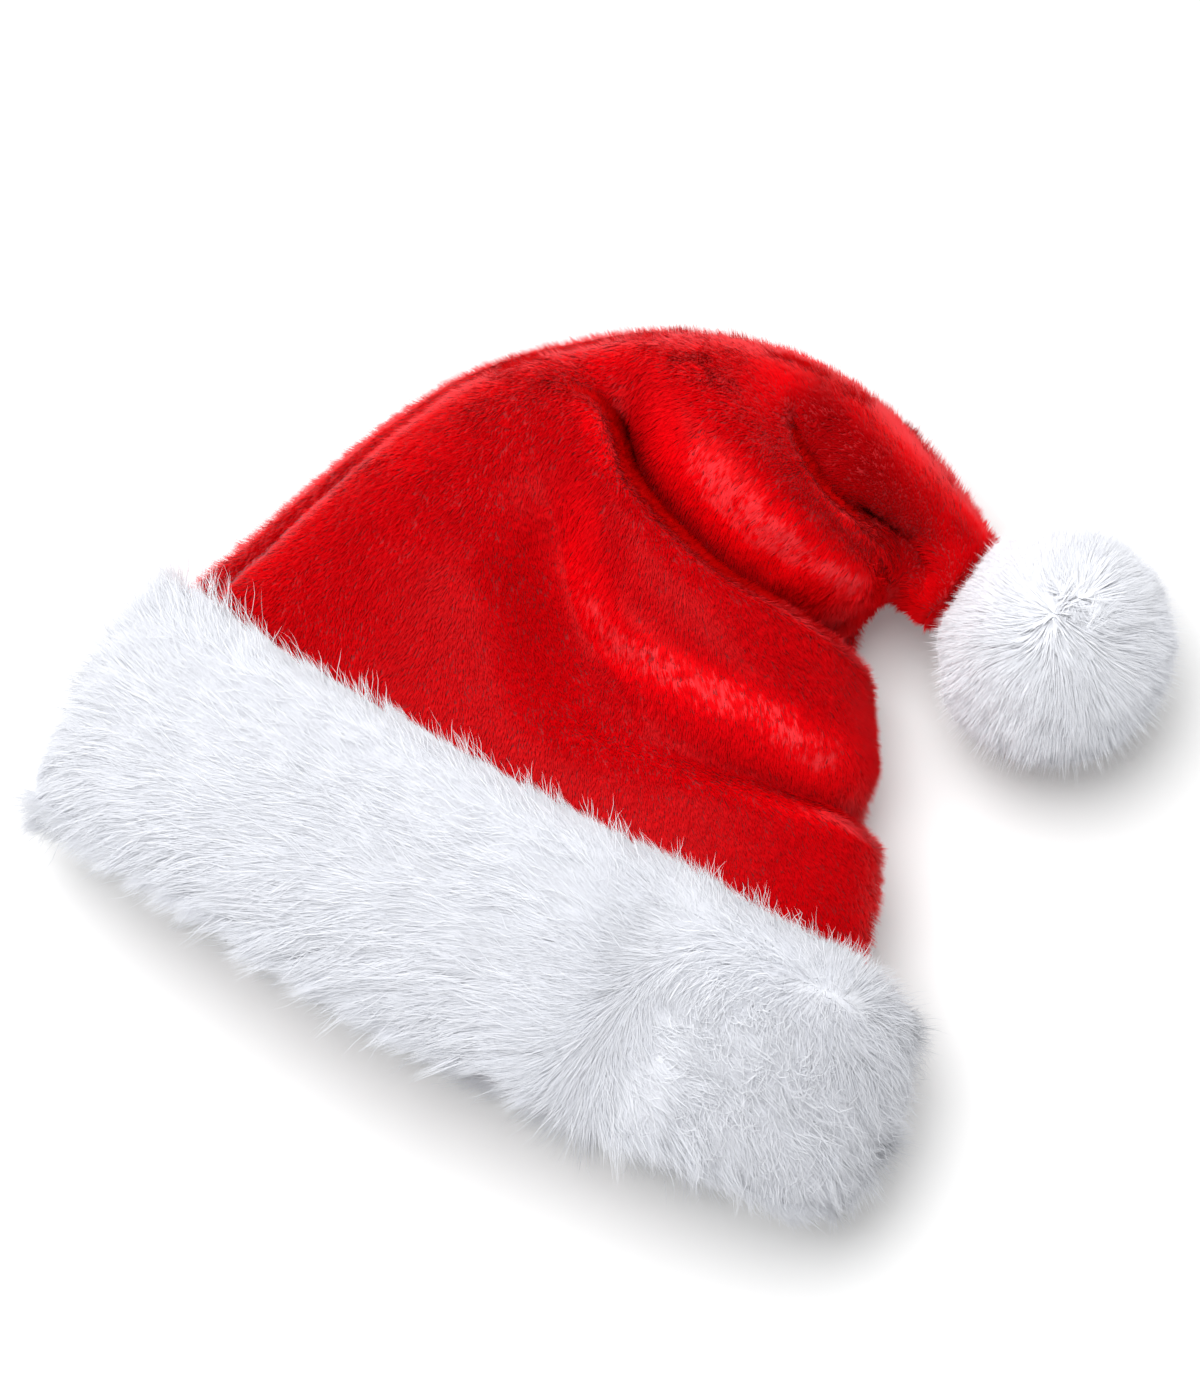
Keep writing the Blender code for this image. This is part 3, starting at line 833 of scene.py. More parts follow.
@dataclass
class Crown:
    """The red plush crown: two panels sewn along both sides, folded over at the tip."""

    seam_half_width: float = 0.1290
    reach: float = 0.1755
    loft: float = 0.0950
    collar_height: float = 0.0600
    collar_seam: float = 0.48
    cloth: float = 0.0025
    seam_left: float = math.radians(151)
    seam_right: float = math.radians(-8)
    side_power: float = 0.86
    upper_power: float = 0.92
    lower_power: float = 0.72
    mouth_half_width: float = 0.1310
    mouth_height: float = 0.0480
    rim_setback: float = 0.0080
    cuff_height: float = 0.0810
    cuff_pressed: float = 0.0150
    cuff_clearance: float = 0.0006
    bow: float = 0.0090
    edge_bow: float = 0.0015
    bow_fade: float = 2
    tip_x: float = 0.768
    tip_y: float = 0.768
    tip_radius: float = 0.0165
    tip_heading: float = math.radians(-10)
    tip_height: float = 0.0402
    gather: float = 4
    fold_low: float = -0.35
    fold_high: float = 0.25
    fold_above_cuff: float = 0.8
    fold_below_tip: float = 1.5
    skin: float = 0.0012  # from the hollow to the roots of the pile
    groove_left: float = math.radians(159)
    rib_height: float = 0.0014
    seam_depth: float = 0.0026  # how far the sewing draws the cloth in
    seam_width: float = 0.0028
    least_skin: float = 0.0012  # height of the skin where the hat rests on it
    cap_shares: tuple[float, ...] = (0.8, 0.5, 0.2, 0.03)  # radii of the rings that close the tip
    cap_bulge: float = 0.4
    crowding: float = 0.045  # of a panel's columns, towards its middle
    narrow: float = 0.1  # the widest fold that is dark inside
    darkest: float = 0.22  # the depth of fold that light doesn't reach
    hidden: float = 0.35  # of a station, how far the pile reaches in under the cuff
    lit_underside: float = 0.35  # share of pile where the panel faces straight down
    band_highlight_tone: float = 0.96  # of the brushed bands, painted lighter as a painted highlight
    level_tone: float = 0.44  # where the pile faces up
    slope_light_tone: float = 0.28  # more than that on slopes: painted light
    upward_slope_light_tone: float = 0.20  # more than that on slopes towards PICTURE_UP: painted light
    painted_shade_tone: float = 0.34  # less than that in the shades: painted shade
    groove_shade_tone: float = 0.25  # less in the groove along the left seam: painted shade
    rib_light_tone: float = 0.12  # more on the rib beside it: painted light
    rim_highlight_share: float = 0.30  # how far the pile along the outline is painted as bright as the bands: a painted rim light
    mottle: Stir = Stir(0.05, 0.012, 5)
    streaks: tuple[Stir, ...] = (Stir(0.25, 0.006, 7), Stir(0.55, 0.0012, 8))
    swirls: tuple[Stir, ...] = (Stir(0.35, 0.022, 3), Stir(0.2, 0.007, 4))
    collar: int = 2  # the station at the cuff's upper edge
    sections: tuple[Section, ...] = SECTIONS
    folds: tuple[Fold, ...] = FOLDS
    bands: tuple[Fold, ...] = BANDS
    shades: tuple[Fold, ...] = SHADES

    def __post_init__(self) -> None:
        """Works out the table of stations, once."""
        self.tip = self.collar + len(self.sections) + 1
        self.table = self.stations()

    def tip_axes(self) -> tuple[Array, Array]:
        """The level directions out of the tip and across it, from its right edge to its left edge."""
        cos, sin = math.cos(self.tip_heading), math.sin(self.tip_heading)
        return np.array((cos, sin, 0)), np.array((-sin, cos, 0))

    def tip_middle(self) -> Array:
        """The middle of the hollow where the tip is gathered."""
        return np.array((self.tip_x * self.seam_half_width, self.tip_y * self.reach, self.tip_height))

    def stations(self) -> Array:
        """The crown's stations, from the rim to the tip.

        Returns:
            A row for each, of left x and y, right x and y, top, bottom and seam height.
        """
        floor = self.cuff_pressed + self.cloth + self.cuff_clearance
        depth = self.cuff_height - self.rim_setback
        rows = []
        for share in (1.0, 0.5, 0.0):
            half = blend(self.seam_half_width, self.mouth_half_width, share)
            height = blend(self.collar_height, self.mouth_height, share)
            seam = floor + height * self.collar_seam
            rows.append((-half, -depth * share, half, -depth * share, floor + height, floor, seam))
        for row in self.sections:
            top, bottom = row.top * self.loft, row.bottom * self.loft
            left = (row.left_x * self.seam_half_width, row.left_y * self.reach)
            right = (row.right_x * self.seam_half_width, row.right_y * self.reach)
            rows.append((*left, *right, top, bottom, blend(bottom, top, row.seam)))
        middle, side = self.tip_middle(), self.tip_axes()[1] * self.tip_radius
        left, right, height = middle + side, middle - side, middle[2]
        rows.append((*left[:2], *right[:2], height + self.tip_radius, height - self.tip_radius, height))
        return np.array(rows)

    def plain(self, station: Array, turn: Array) -> Array:
        """The hollow without its folds: at each station a rounded box, from powers of cosine and sine.

        Args:
            station: Where along the crown, from the rim at 0.
            turn: Where round the section, from its right edge over the top, in radians.

        Returns:
            Points.
        """
        lx, ly, rx, ry, top, bottom, seam = np.moveaxis(smooth_rows(self.table, station), -1, 0)
        rounding = smoothstep((station - self.tip + self.gather) / self.gather)
        cos, sin = np.cos(turn), np.sin(turn)
        side, upper, lower = (
            blend(power, 1, rounding) for power in (self.side_power, self.upper_power, self.lower_power)
        )
        over = np.sign(cos) * np.abs(cos) ** side
        rise = np.abs(sin) ** np.where(sin > 0, upper, lower)
        x = (lx + rx) / 2 + (rx - lx) / 2 * over
        y = (ly + ry) / 2 + (ry - ly) / 2 * over
        bow = blend(self.edge_bow, self.bow, np.clip((self.collar - station) / self.collar, 0, 1))
        fade = smoothstep((self.collar + self.bow_fade - station) / self.bow_fade)
        y = y - bow * smoothstep(1 - np.abs(over)) * fade
        z = seam + np.where(sin > 0, (top - seam) * rise, (bottom - seam) * rise)
        return np.stack((x, y, z), -1)

    @staticmethod
    def outward(shape: Callable[[Array, Array], Array], station: Array, turn: Array) -> Array:
        """Outward unit normals of a surface that is a function of station and turn, from its two slopes.

        Args:
            shape: The function.
            station: Where along the crown, from the rim at 0.
            turn: Where round the section, from its right edge over the top, in radians.

        Returns:
            A normal for each point.
        """
        step = 1e-3
        along = shape(station + step, turn) - shape(np.maximum(station - step, 0), turn)
        around = shape(station, turn + step) - shape(station, turn - step)
        return unit(np.cross(along, around))

    def profile(self, fold: Fold, place: Array) -> Array:
        """How much of one fold there is at each point, seen from above.

        It is a raised cosine over the distance to the fold's line, and it rises and fades along that line.

        Args:
            fold: The fold or band.
            place: Points, of which only x and y count.

        Returns:
            Values from 0 to 1.
        """
        samples = 61
        waypoints = np.array(fold.line) * (self.seam_half_width, self.reach)
        line = smooth_rows(waypoints, np.linspace(0, len(waypoints) - 1, samples))
        heading = unit(np.gradient(line, axis=0))
        offset = place[..., None, :2] - line
        distance = np.linalg.norm(offset, axis=-1)
        nearest = distance.argmin(-1)
        offset = np.take_along_axis(offset, nearest[..., None, None], -2)[..., 0, :]
        heading = heading[nearest]
        distance = np.maximum(distance.min(-1), 1e-6)
        towards_tip = (offset[..., 0] * heading[..., 1] - offset[..., 1] * heading[..., 0]) / distance
        width = blend(fold.low, fold.high, (1 + towards_tip) / 2) * self.seam_half_width
        passed = nearest / (samples - 1)
        run_out = smoothstep((1 - passed) / fold.fade) * smoothstep((passed + 1e-6) / max(fold.rise, 1e-6))
        return (0.5 + 0.5 * np.cos(math.pi * np.clip(distance / width, 0, 1))) * run_out

    def total(self, folds: Sequence[Fold], place: Array) -> Array:
        """The depths of some folds at each point seen from above, added up."""
        return sum(fold.depth * self.profile(fold, place) for fold in folds)

    def hollow(self, station: Array, turn: Array) -> Array:
        """The hollow with its folds, flattened where it lies on the surface, in the model's frame.

        Args:
            station: Where along the crown, from the rim at 0.
            turn: Where round the section, from its right edge over the top, in radians.

        Returns:
            Points.
        """
        station, turn = np.broadcast_arrays(np.asarray(station, float), np.asarray(turn, float))
        point = self.plain(station, turn)
        depth = self.total(self.folds, point) * self.loft
        upper = smoothstep((np.sin(turn) - self.fold_low) / (self.fold_high - self.fold_low))
        free = smoothstep((station - self.collar) / self.fold_above_cuff)
        free = free * smoothstep((self.tip - station) / self.fold_below_tip)
        point = point - self.outward(self.plain, station, turn) * (depth * upper * free)[..., None]
        point[..., 2] = np.maximum(point[..., 2], self.cloth)
        return point + DESIGN_ORIGIN

    def darkness(self, station: Array, turn: Array) -> Array:
        """How little light reaches the pile in the narrow folds, by the cubes of their profiles.

        Args:
            station: Where along the crown, from the rim at 0.
            turn: Where round the section, from its right edge over the top, in radians.

        Returns:
            Values from 0 to 1.
        """
        point = self.plain(station, turn)
        narrow = [fold for fold in self.folds if fold.depth > 0 and fold.low < self.narrow]
        depth = sum(fold.depth * self.profile(fold, point) ** 3 for fold in narrow)
        free = smoothstep((station - self.collar) / self.fold_above_cuff)
        free = free * ramp(np.sin(turn), -0.1, 0.1)
        return np.clip(depth / self.darkest, 0, 1) * free

    def seam_dip(self, station: Array, turn: Array) -> Array:
        """How far the sewing draws the cloth in: a bell curve over the distance to the nearer seam.

        Args:
            station: Where along the crown, from the rim at 0.
            turn: Where round the section, from its right edge over the top, in radians.

        Returns:
            Depths in metres.
        """
        step = 0.01
        around = self.hollow(station, turn + step) - self.hollow(station, turn - step)
        width = np.linalg.norm(around, axis=-1) / (2 * step)
        left = np.abs(turn - self.groove_left)
        right = np.minimum(np.abs(turn - self.seam_right), np.abs(turn - self.seam_right - TURN))
        return self.seam_depth * np.exp(-((np.minimum(left, right) * width / self.seam_width) ** 2))

    def rib(self, turn: Array) -> Array:
        """How far the cloth stands out beyond the left seam: a smooth rise and fall over the turn."""
        past = turn - self.groove_left
        return self.rib_height * ramp(past, 0, 0.10) * ramp(past, 0.80, 0.30)

    def layer(self, station: Array, turn: Array, which: Layer) -> Array:
        """The points of one side of the cloth, with the tip closed by rings that shrink to its middle.

        Args:
            station: Where along the crown, from the rim at 0.
            turn: Where round the section, from its right edge over the top, in radians.
            which: The side of the cloth.

        Returns:
            Rows and columns of points.
        """
        point = self.hollow(station, turn)
        if which is Layer.SKIN:
            sewn = (self.rib(turn) - self.seam_dip(station, turn)) * ramp(station, self.tip, self.tip - 2)
            point = point + self.outward(self.hollow, station, turn) * (self.skin + sewn)[..., None]
            point[..., 2] = np.maximum(point[..., 2], self.least_skin)
        ahead, side = self.tip_axes()
        radius = self.tip_radius + (self.skin if which is Layer.SKIN else 0)
        turning = -side * np.cos(turn[-1])[:, None] + np.array((0, 0, 1)) * np.sin(turn[-1])[:, None]
        rings = []
        for share in self.cap_shares:
            bulge = ahead * radius * self.cap_bulge * math.sqrt(1 - share**2)
            rings.append(self.tip_middle() + DESIGN_ORIGIN + bulge + turning * radius * share)
        return np.concatenate((point, np.array(rings)))

    def panels(self) -> tuple[Panel, Panel]:
        """The crown's two panels.

        Returns:
            The upper panel, and the one on which the hat lies.
        """
        over, under = (self.seam_right, self.seam_left), (self.seam_left, self.seam_right + TURN)
        return (
            Panel("crown_front_plush", "crown_front", over, 150, 130, 190000, 11, (0.27, 0.42), 0.0685),
            Panel("crown_rear_plush", "crown_rear", under, 110, 76, 76000, 12, (0.305, 0.435), 0.0761),
        )

    def grid(self, panel: Panel) -> tuple[Array, Array]:
        """The stations and turns of a panel's grid, which is finer in its middle.

        Args:
            panel: Which panel.

        Returns:
            Both as rows and columns.
        """
        share = np.linspace(0, 1, panel.columns)
        turn = blend(*panel.seams, share + self.crowding * np.sin(TURN * share))
        station = np.linspace(0, self.tip, panel.rows)
        return np.broadcast_arrays(station[:, None], turn[None, :])

    def build(self, panel: Panel, finishes: Sequence[bpy.types.Material]) -> None:
        """Builds one panel and its pile in place of its node.

        Args:
            panel: Which panel.
            finishes: The materials of the pile, of the cloth's outer side and of its lining.
        """
        cover, skin, lining = finishes
        station, turn = self.grid(panel)
        outer = self.layer(station, turn, Layer.SKIN)
        points, faces, which = wall(outer, self.layer(station, turn, Layer.LINING))
        cloth = add_piece(panel.name, points, faces[:, ::-1], [skin, lining], which)
        under_cuff = (self.collar - self.hidden) * (panel.rows - 1) / self.tip

        def weight(place: Array, normal: Array) -> Array:
            """None inside the cuff, and little where the panel faces straight down."""
            row = np.repeat(np.arange(outer.shape[0] - 1), outer.shape[1] - 1)
            return (row > under_cuff) * np.where(normal[:, 2] > -0.8, 1.0, self.lit_underside)

        roots = Grid(outer).scatter(panel.blades, weight, panel.seed)
        tone, brushed, outline = self.dress(panel, roots)
        comb = (0.5, 0, 0) - roots.along + sum(stir.at(roots.place) for stir in self.swirls)
        flat = 0.85 * brushed - 0.7 * outline
        blades = replace(PLUSH, seed=panel.seed).grow(roots, comb, tone, 1 + 0.3 * outline, flat)
        for piece in (cloth, add_blades(panel.name + "_pile", blades, cover)):
            stand_for(panel.node)

    def dress(self, panel: Panel, roots: Roots) -> tuple[Array, Array, Array]:
        """How the pile of a panel is brushed, and what light and shade is painted into its tone.

        The tone is painted lighter on slopes, on the rib beside the left seam, along the outline and in the
        bands, as painted light and painted highlight, and darker in the shades, in the groove of the left seam
        and in the narrow folds, as painted shade.

        Args:
            panel: Which panel.
            roots: Where its pile grows.

        Returns:
            For each blade its tone with its painted light and shade, how far it is brushed down, and how far
            it is part of the outline.
        """
        station, turn = self.grid(panel)
        column = np.clip(np.round(roots.column).astype(int), 0, panel.columns - 1)

        def read(values: Array) -> Array:
            """A value of the grid at each root."""
            return smooth_rows(values, roots.row)[np.arange(len(column)), column]

        plain = self.plain(station, turn)
        deep = read(self.darkness(station, turn))
        up = roots.normal[:, 2]
        streaks = sum(stir.level(roots.place) for stir in self.streaks)
        # The bands' pile is brushed down, and below its tone is painted lighter there as a painted highlight.
        brushed = read(self.total(self.bands, plain)) * (0.82 + streaks) - 0.3 * deep
        brushed = np.clip(brushed, 0, 0.95) * ramp(up, 0, 0.3)
        # Painted light: the tone is lighter on slopes and on slopes towards PICTURE_UP; painted shade: darker
        # in the shades.
        tone = self.level_tone + self.slope_light_tone * ramp(up, 0.93, 0.48)
        tone = tone + self.upward_slope_light_tone * ramp(roots.normal @ PICTURE_UP, 0.05, 0.50)
        tone = tone + self.mottle.level(roots.place) - self.painted_shade_tone * read(self.total(self.shades, plain))
        # Painted highlight in the bands and painted rim light along the outline.
        tone = blend(tone, self.band_highlight_tone, np.maximum(brushed, self.rim_highlight_share * ramp(up, 0.55, 0.05)))
        # Painted shade in the narrow folds.
        tone = tone * (1 - np.clip(1.35 * deep, 0, 1))
        past = blend(*panel.seams, roots.column / (panel.columns - 1)) - self.groove_left
        # Painted shade in the groove of the left seam, and painted light on the rib beside it.
        tone = tone - self.groove_shade_tone * np.exp(-((past / 0.035) ** 2))
        tone = tone + self.rib_light_tone * ramp(past, 0.05, 0.13) * ramp(past, 0.9, 0.6)
        outline = ramp(up, 0.45, 0.05) * ramp(up, -0.5, -0.1)
        return np.clip(tone, 0, 1), brushed, outline


@dataclass(frozen=True)
class CuffPoint:
    """A point of the cuff's section: its way from the lower to the upper edge, and its share of padding."""

    over: float
    padding: float


CUFF_SECTION = (
    CuffPoint(0.030, 0.30),
    CuffPoint(0.000, 0.66),
    CuffPoint(0.080, 1.00),
    CuffPoint(0.240, 1.14),
    CuffPoint(0.410, 1.14),
    CuffPoint(0.575, 1.09),
    CuffPoint(0.730, 1.00),
    CuffPoint(0.860, 0.80),
    CuffPoint(0.920, 0.36),
)


class Side(Enum):
    """Which part of the cuff a layer of fur covers."""

    UPPER = "what shows from above, with both edges"
    UNDER = "what the hat lies on, and the folded-in edge"
    SWIRL = "what shows from above, right of the join"
    EDGE = "the lower edge and both ends"
    RIM = "the upper edge"


@dataclass(frozen=True)
class Coat:
    """One layer of the cuff's fur: its piece's name, where it grows, its number of blades and their cut."""

    name: str
    part: Side
    count: int
    pile: Pile


LONG_FUR = Pile(0.0195, 0.00026, 1, 0.30, 0.05, 0, 0.06, 0.20, 0.010, 0.14, soft=1, glint=0.08, lift=0.8,
                seed=21)
SHORT_FUR = replace(LONG_FUR, length=0.0150, width=0.0007, stand=0.25, lie=0.03, gather=0.1, seed=24)
LOWER_FUR = replace(SHORT_FUR, length=0.0125, stand=0.3, lie=0.05, seed=22)
TUFTS = Pile(0.0215, 0.00024, 2, 0.30, 0.12, 0, 0.05, 0.35, 0.0085, 0.95, soft=1, glint=0.12, lift=0.8,
             seed=26)
HAIRS = Pile(0.022, 0.0002, 4, 0.50, 0.20, 0, 0.16, 0.5, 0.007, 0.25, 0.05, 0.8, soft=1, lift=0.8, seed=23)
CURLS = replace(HAIRS, length=0.017, width=0.00025, steps=6, stray=0.3, wander=0.9, wave=0.16, turns=1.3,
                seed=25)
WISPS = replace(HAIRS, length=0.025, width=0.00018, stand=0.55, lie=0.25, stray=0.22, wander=0.7, seed=27)
COATS = (
    Coat("cuff_fur_base", Side.UPPER, 64000, SHORT_FUR),
    Coat("cuff_fur_upper", Side.UPPER, 185000, LONG_FUR),
    Coat("cuff_fur_tufts", Side.EDGE, 16000, TUFTS),
    Coat("cuff_fur_under", Side.UNDER, 34000, LOWER_FUR),
    Coat("cuff_guard_hairs", Side.UPPER, 4000, HAIRS),
    Coat("cuff_curls", Side.SWIRL, 2600, CURLS),
    Coat("cuff_wisps", Side.RIM, 1500, WISPS),
)
# How the fur is combed: heights on the cuff, and its angles there in degrees.
LEFT_COMB = ((0, 0.35, 0.75, 1), (224, 188, 172, 140))
RIGHT_COMB = ((0, 0.35, 0.55, 0.72, 0.85, 1), (326, 342, 292, 215, 165, 140))
LOW_END_COMB = ((0, 0.35, 0.55, 0.78), (328, 345, 350, 355))
HIGH_END_COMB = ((0.78, 1), (5, 40))


@dataclass
class Cuff:
    """The deep white fur cuff: a padded ring round the collar, with fur that is combed out from its join."""

    crown: Crown
    side: float = 0.0170
    top: float = 0.0130
    under: float = 0.0190
    sway: float = 0.0070
    fullness: float = 0.80  # of the padding, as a share of the node's own, which leaves room for the fur
    join: float = math.radians(63)
    join_depth: float = 0.35
    join_spread: float = math.radians(6)
    join_low: float = 0.052  # x of the join at the cuff's lower edge
    join_high: float = 0.062  # the same at its upper edge
    end: tuple[float, float] = (0.098, 0.128)  # the x range over which the right end's combing takes over
    end_height: float = 0.78  # on the right end, where the fur parts upwards and downwards
    tangle: tuple[float, float] = (0.1126, -0.0720)  # middle of the tangled fur
    tangle_size: float = 0.020
    parting: tuple[float, float] = (0.060, -0.074)  # middle of the dip in the join, round which the fur is painted grey as a painted shade
    parting_shade_size: tuple[float, float] = (0.016, 0.022)
    inner_keys: int = 6  # points of the section inside the ring
    inner_start: float = 0.92  # the station of the first of them, as a share of the collar's
    lower_start: tuple[float, float] = (4.2, 4.8)  # points between which the fur sets in at the lower edge
    upper_start: tuple[float, float] = (14.6, 14.2)  # the same at the upper edge
    raised_end: float = 0.0045  # how far the left end reaches up over the crown
    rows: int = 72
    columns: int = 200
    lowest: float = 0.0008
    ragged: tuple[Stir, ...] = (Stir(0.005, 0.004, 36), Stir(0.006, 0.012, 37))
    swirl: Stir = Stir(17, 0.030, 31)  # degrees
    join_swirl: Stir = Stir(30, 0.013, 33)
    tangle_swirl: Stir = Stir(1, 0.013, 32)
    mottles: tuple[Stir, ...] = (Stir(0.4, 0.020, 34), Stir(0.3, 0.006, 35))

    def collar(self, station: float, turn: Array, lift: Array) -> Array:
        """The cloth's surface inside the cuff, lifted outwards, and straight on from it past the rim.

        Args:
            station: Where along the crown. It is below 0 past the rim.
            turn: Where round the section, from its right edge over the top, in radians.
            lift: How far out of the surface, for each turn.

        Returns:
            A point for each turn.
        """
        crown = self.crown
        inside = np.clip(np.full(len(turn), float(station)), 0, crown.collar)
        point = crown.hollow(inside, turn)
        point[:, 1] += (station - inside) * (crown.cuff_height - crown.rim_setback) / crown.collar
        return point + crown.outward(crown.hollow, inside, turn) * lift[:, None]

    def padding(self, turn: Array) -> Array:
        """How thick the padding is, blended by cosine squared and thinner in the groove of the join.

        Args:
            turn: Where round the section, from its right edge over the top, in radians.

        Returns:
            A thickness for each turn.
        """
        side = np.cos(turn) ** 2
        thickness = self.side * side + np.where(np.sin(turn) > 0, self.top, self.under) * (1 - side)
        groove = np.exp(-(((turn - self.join) / self.join_spread) ** 2))
        return thickness * self.fullness * (1 - self.join_depth * groove)

    def ring(self) -> Array:
        """The padded ring: closed Catmull-Rom curves through the key points of its section, at each turn.

        Returns:
            Rows and columns of points. Both join round.
        """
        crown = self.crown
        turn = np.linspace(0, TURN, self.columns, endpoint=False)
        clear = np.full(self.columns, crown.cloth + crown.cuff_clearance)
        inner = np.linspace(crown.collar * self.inner_start, 0, self.inner_keys)
        keys = [self.collar(station, turn, clear) for station in inner]
        depth = crown.cuff_height / (crown.cuff_height - crown.rim_setback)
        for point in CUFF_SECTION:
            station = crown.collar * (1 - (1 - point.over) * depth)
            ring = self.collar(station, turn, clear + self.padding(turn) * point.padding)
            ring[:, 1] += self.raised_end * point.over**2 * ramp(np.cos(turn), -0.5, -1)
            ring[:, 0] += self.sway * point.padding
            keys.append(ring)
        looped = np.concatenate((keys[-2:], keys, keys[:3]))
        ring = smooth_rows(looped, 2 + np.linspace(0, len(keys), self.rows + 1))
        ring[..., 2] = np.maximum(ring[..., 2], self.lowest)
        return ring

    def height(self, roots: Roots) -> Array:
        """Each root's way from the cuff's lower edge, 0, to its upper edge, 1."""
        return (roots.place[:, 1] - DESIGN_ORIGIN[1]) / self.crown.cuff_height + 1

    def comb(self, roots: Roots) -> tuple[Array, Array]:
        """How the fur lies: to -X left of the join and along the upper edge, and round to +X right of it.

        The angle is read from tables over the cuff's height, for left and right of the join and for the right
        end, which are blended by smoothstep over x and stirred by smooth random fields.

        Args:
            roots: Where the fur grows.

        Returns:
            Its direction, and from 0, combed down, to 1, how far it stands up where the directions meet.
        """
        x, y = roots.place[:, 0], roots.place[:, 1]
        height = np.clip(self.height(roots), -0.1, 1.1)
        join = blend(self.join_low, self.join_high, height)
        ragged = sum(stir.level(roots.place) for stir in self.ragged)
        low_end, high_end = (np.interp(height, *table) for table in (LOW_END_COMB, HIGH_END_COMB))
        end = np.where(height + 8 * ragged > self.end_height, high_end, low_end)
        width = blend(0.034, 0.010, ramp(height, 0, 0.6))
        passed = smoothstep((x - join + ragged) / width + 0.5)
        angle = blend(np.interp(height, *LEFT_COMB), np.interp(height, *RIGHT_COMB), passed)
        angle = blend(angle, end, ramp(x, *self.end))
        near = np.exp(-(((x - join) / 0.025) ** 2))
        tangled = np.exp(-(((x - self.tangle[0]) ** 2 + (y - self.tangle[1]) ** 2) / self.tangle_size**2))
        angle = angle + self.swirl.level(roots.place) + near * self.join_swirl.level(roots.place)
        angle = np.radians(angle + (25 * passed + 80 * tangled) * self.tangle_swirl.level(roots.place))
        direction = np.stack((np.cos(angle), np.sin(angle), np.zeros(len(angle))), -1)
        parted = np.exp(-(((height - self.end_height) / 0.08) ** 2)) * ramp(x, 0.092, 0.102)
        standing = np.maximum(0.5 * tangled, 0.3 * near * ramp(height, 0.3, 0.5))
        return direction, np.maximum(standing, 0.35 * parted)

    def scatter(self, ring: Array, coat: Coat) -> Roots:
        """Roots of one coat of fur, none where the cloth inside the cuff hides them.

        Args:
            ring: The padded ring.
            coat: The coat.

        Returns:
            The roots.
        """

        def weight(place: Array, normal: Array) -> Array:
            """The coat's own part of the outside, with soft borders.

            Args:
                place: Each cell's middle.
                normal: Each cell's outward normal.

            Returns:
                The cells' weights, from 0 to 1.
            """
            keys = self.inner_keys + len(CUFF_SECTION)
            key = np.repeat(np.arange(ring.shape[0] - 1), ring.shape[1]) / (ring.shape[0] - 1) * keys
            outside = ramp(key, *self.lower_start) * ramp(key, *self.upper_start)
            up = ramp(normal[:, 2], -0.45, -0.15)
            right = ramp(place[:, 0], self.join_high, self.join_high + 0.012)
            low = DESIGN_ORIGIN[1] - self.crown.cuff_height
            edge = ramp(place[:, 1], low + 0.022, low + 0.007)
            edge = np.maximum(edge, ramp(np.abs(place[:, 0] + 0.003), 0.118, 0.138))
            rim = ramp(place[:, 1], DESIGN_ORIGIN[1] - 0.020, DESIGN_ORIGIN[1] - 0.016)
            shares = {
                Side.UPPER: up,
                Side.UNDER: 1 - up,
                Side.SWIRL: up * right,
                Side.EDGE: up * edge,
                Side.RIM: up * rim,
            }
            return outside * shares[coat.part]

        return Grid(ring, loop=True).scatter(coat.count, weight, coat.pile.seed)

    def build(self, fur: bpy.types.Material, backing: bpy.types.Material) -> None:
        """Builds the padding and its fur in place of the cuff's node.

        Args:
            fur: The fur's material.
            backing: The padding's material.
        """
        ring = self.ring()
        index = np.arange(self.rows * self.columns).reshape(self.rows, self.columns)
        faces = cell_corners(np.pad(index, ((0, 1), (0, 1)), mode="wrap")).reshape(-1, 4)
        padding = add_piece("cuff_padding", ring[:-1].reshape(-1, 3), faces, [backing])
        for piece in (padding, *(add_blades(coat.name, self.fur(ring, coat), fur) for coat in COATS)):
            stand_for("fur_cuff")

    def fur(self, ring: Array, coat: Coat) -> Blades:
        """One coat of the cuff's fur, longest at the lower edge and shorter at the upper edge and both ends.

        Args:
            ring: The padded ring.
            coat: The coat.

        Returns:
            Its blades.
        """
        roots = self.scatter(ring, coat)
        x = roots.place[:, 0]
        away = (roots.place[:, :2] - self.parting) / self.parting_shade_size
        # Painted shade: the fur is painted darker round the dip in the join.
        tone = 0.6 + sum(stir.level(roots.place) for stir in self.mottles) - 0.7 * np.exp(-(away**2).sum(-1))
        height = self.height(roots)
        middle = np.clip(1 - (2 * height - 1) ** 2, 0, 1)
        left = smoothstep(-roots.normal[:, 0]) * ramp(x, -0.105, -0.135)
        right = ramp(x, 0.09, 0.11)
        scale = 1 + 0.10 * ramp(height, 0.25, 0.10) * (1 - left) * (1 - right) + left * (0.40 * middle - 0.40)
        scale = scale - 0.25 * right * ramp(height, 0.3, 0.1)
        scale = scale * (1 - 0.42 * ramp(height, 0.72, 0.94) * ramp(x, -0.14, -0.08))
        comb, standing = self.comb(roots)
        return coat.pile.grow(roots, comb, np.clip(tone, 0, 1), scale, -0.9 * standing)


BALL_FUR = Pile(
    length=0.0165,
    width=0.00034,
    steps=1,
    stand=0.36,
    lie=0.06,
    stray=0.06,
    wander=0.08,
    lock=0.006,
    gather=0.02,
    shortest=0.75,
    soft=1.0,
    glint=0.05,
    lift=2.6,
    seed=43,
)
BALL_BASE = replace(BALL_FUR, length=0.0135, width=0.0014, stand=0.28, lie=0.06, gather=0.0, seed=45)
BALL_LOOSE = replace(BALL_FUR, length=0.0150, width=0.00022, stand=0.62, lie=0.45, stray=0.16, seed=46)


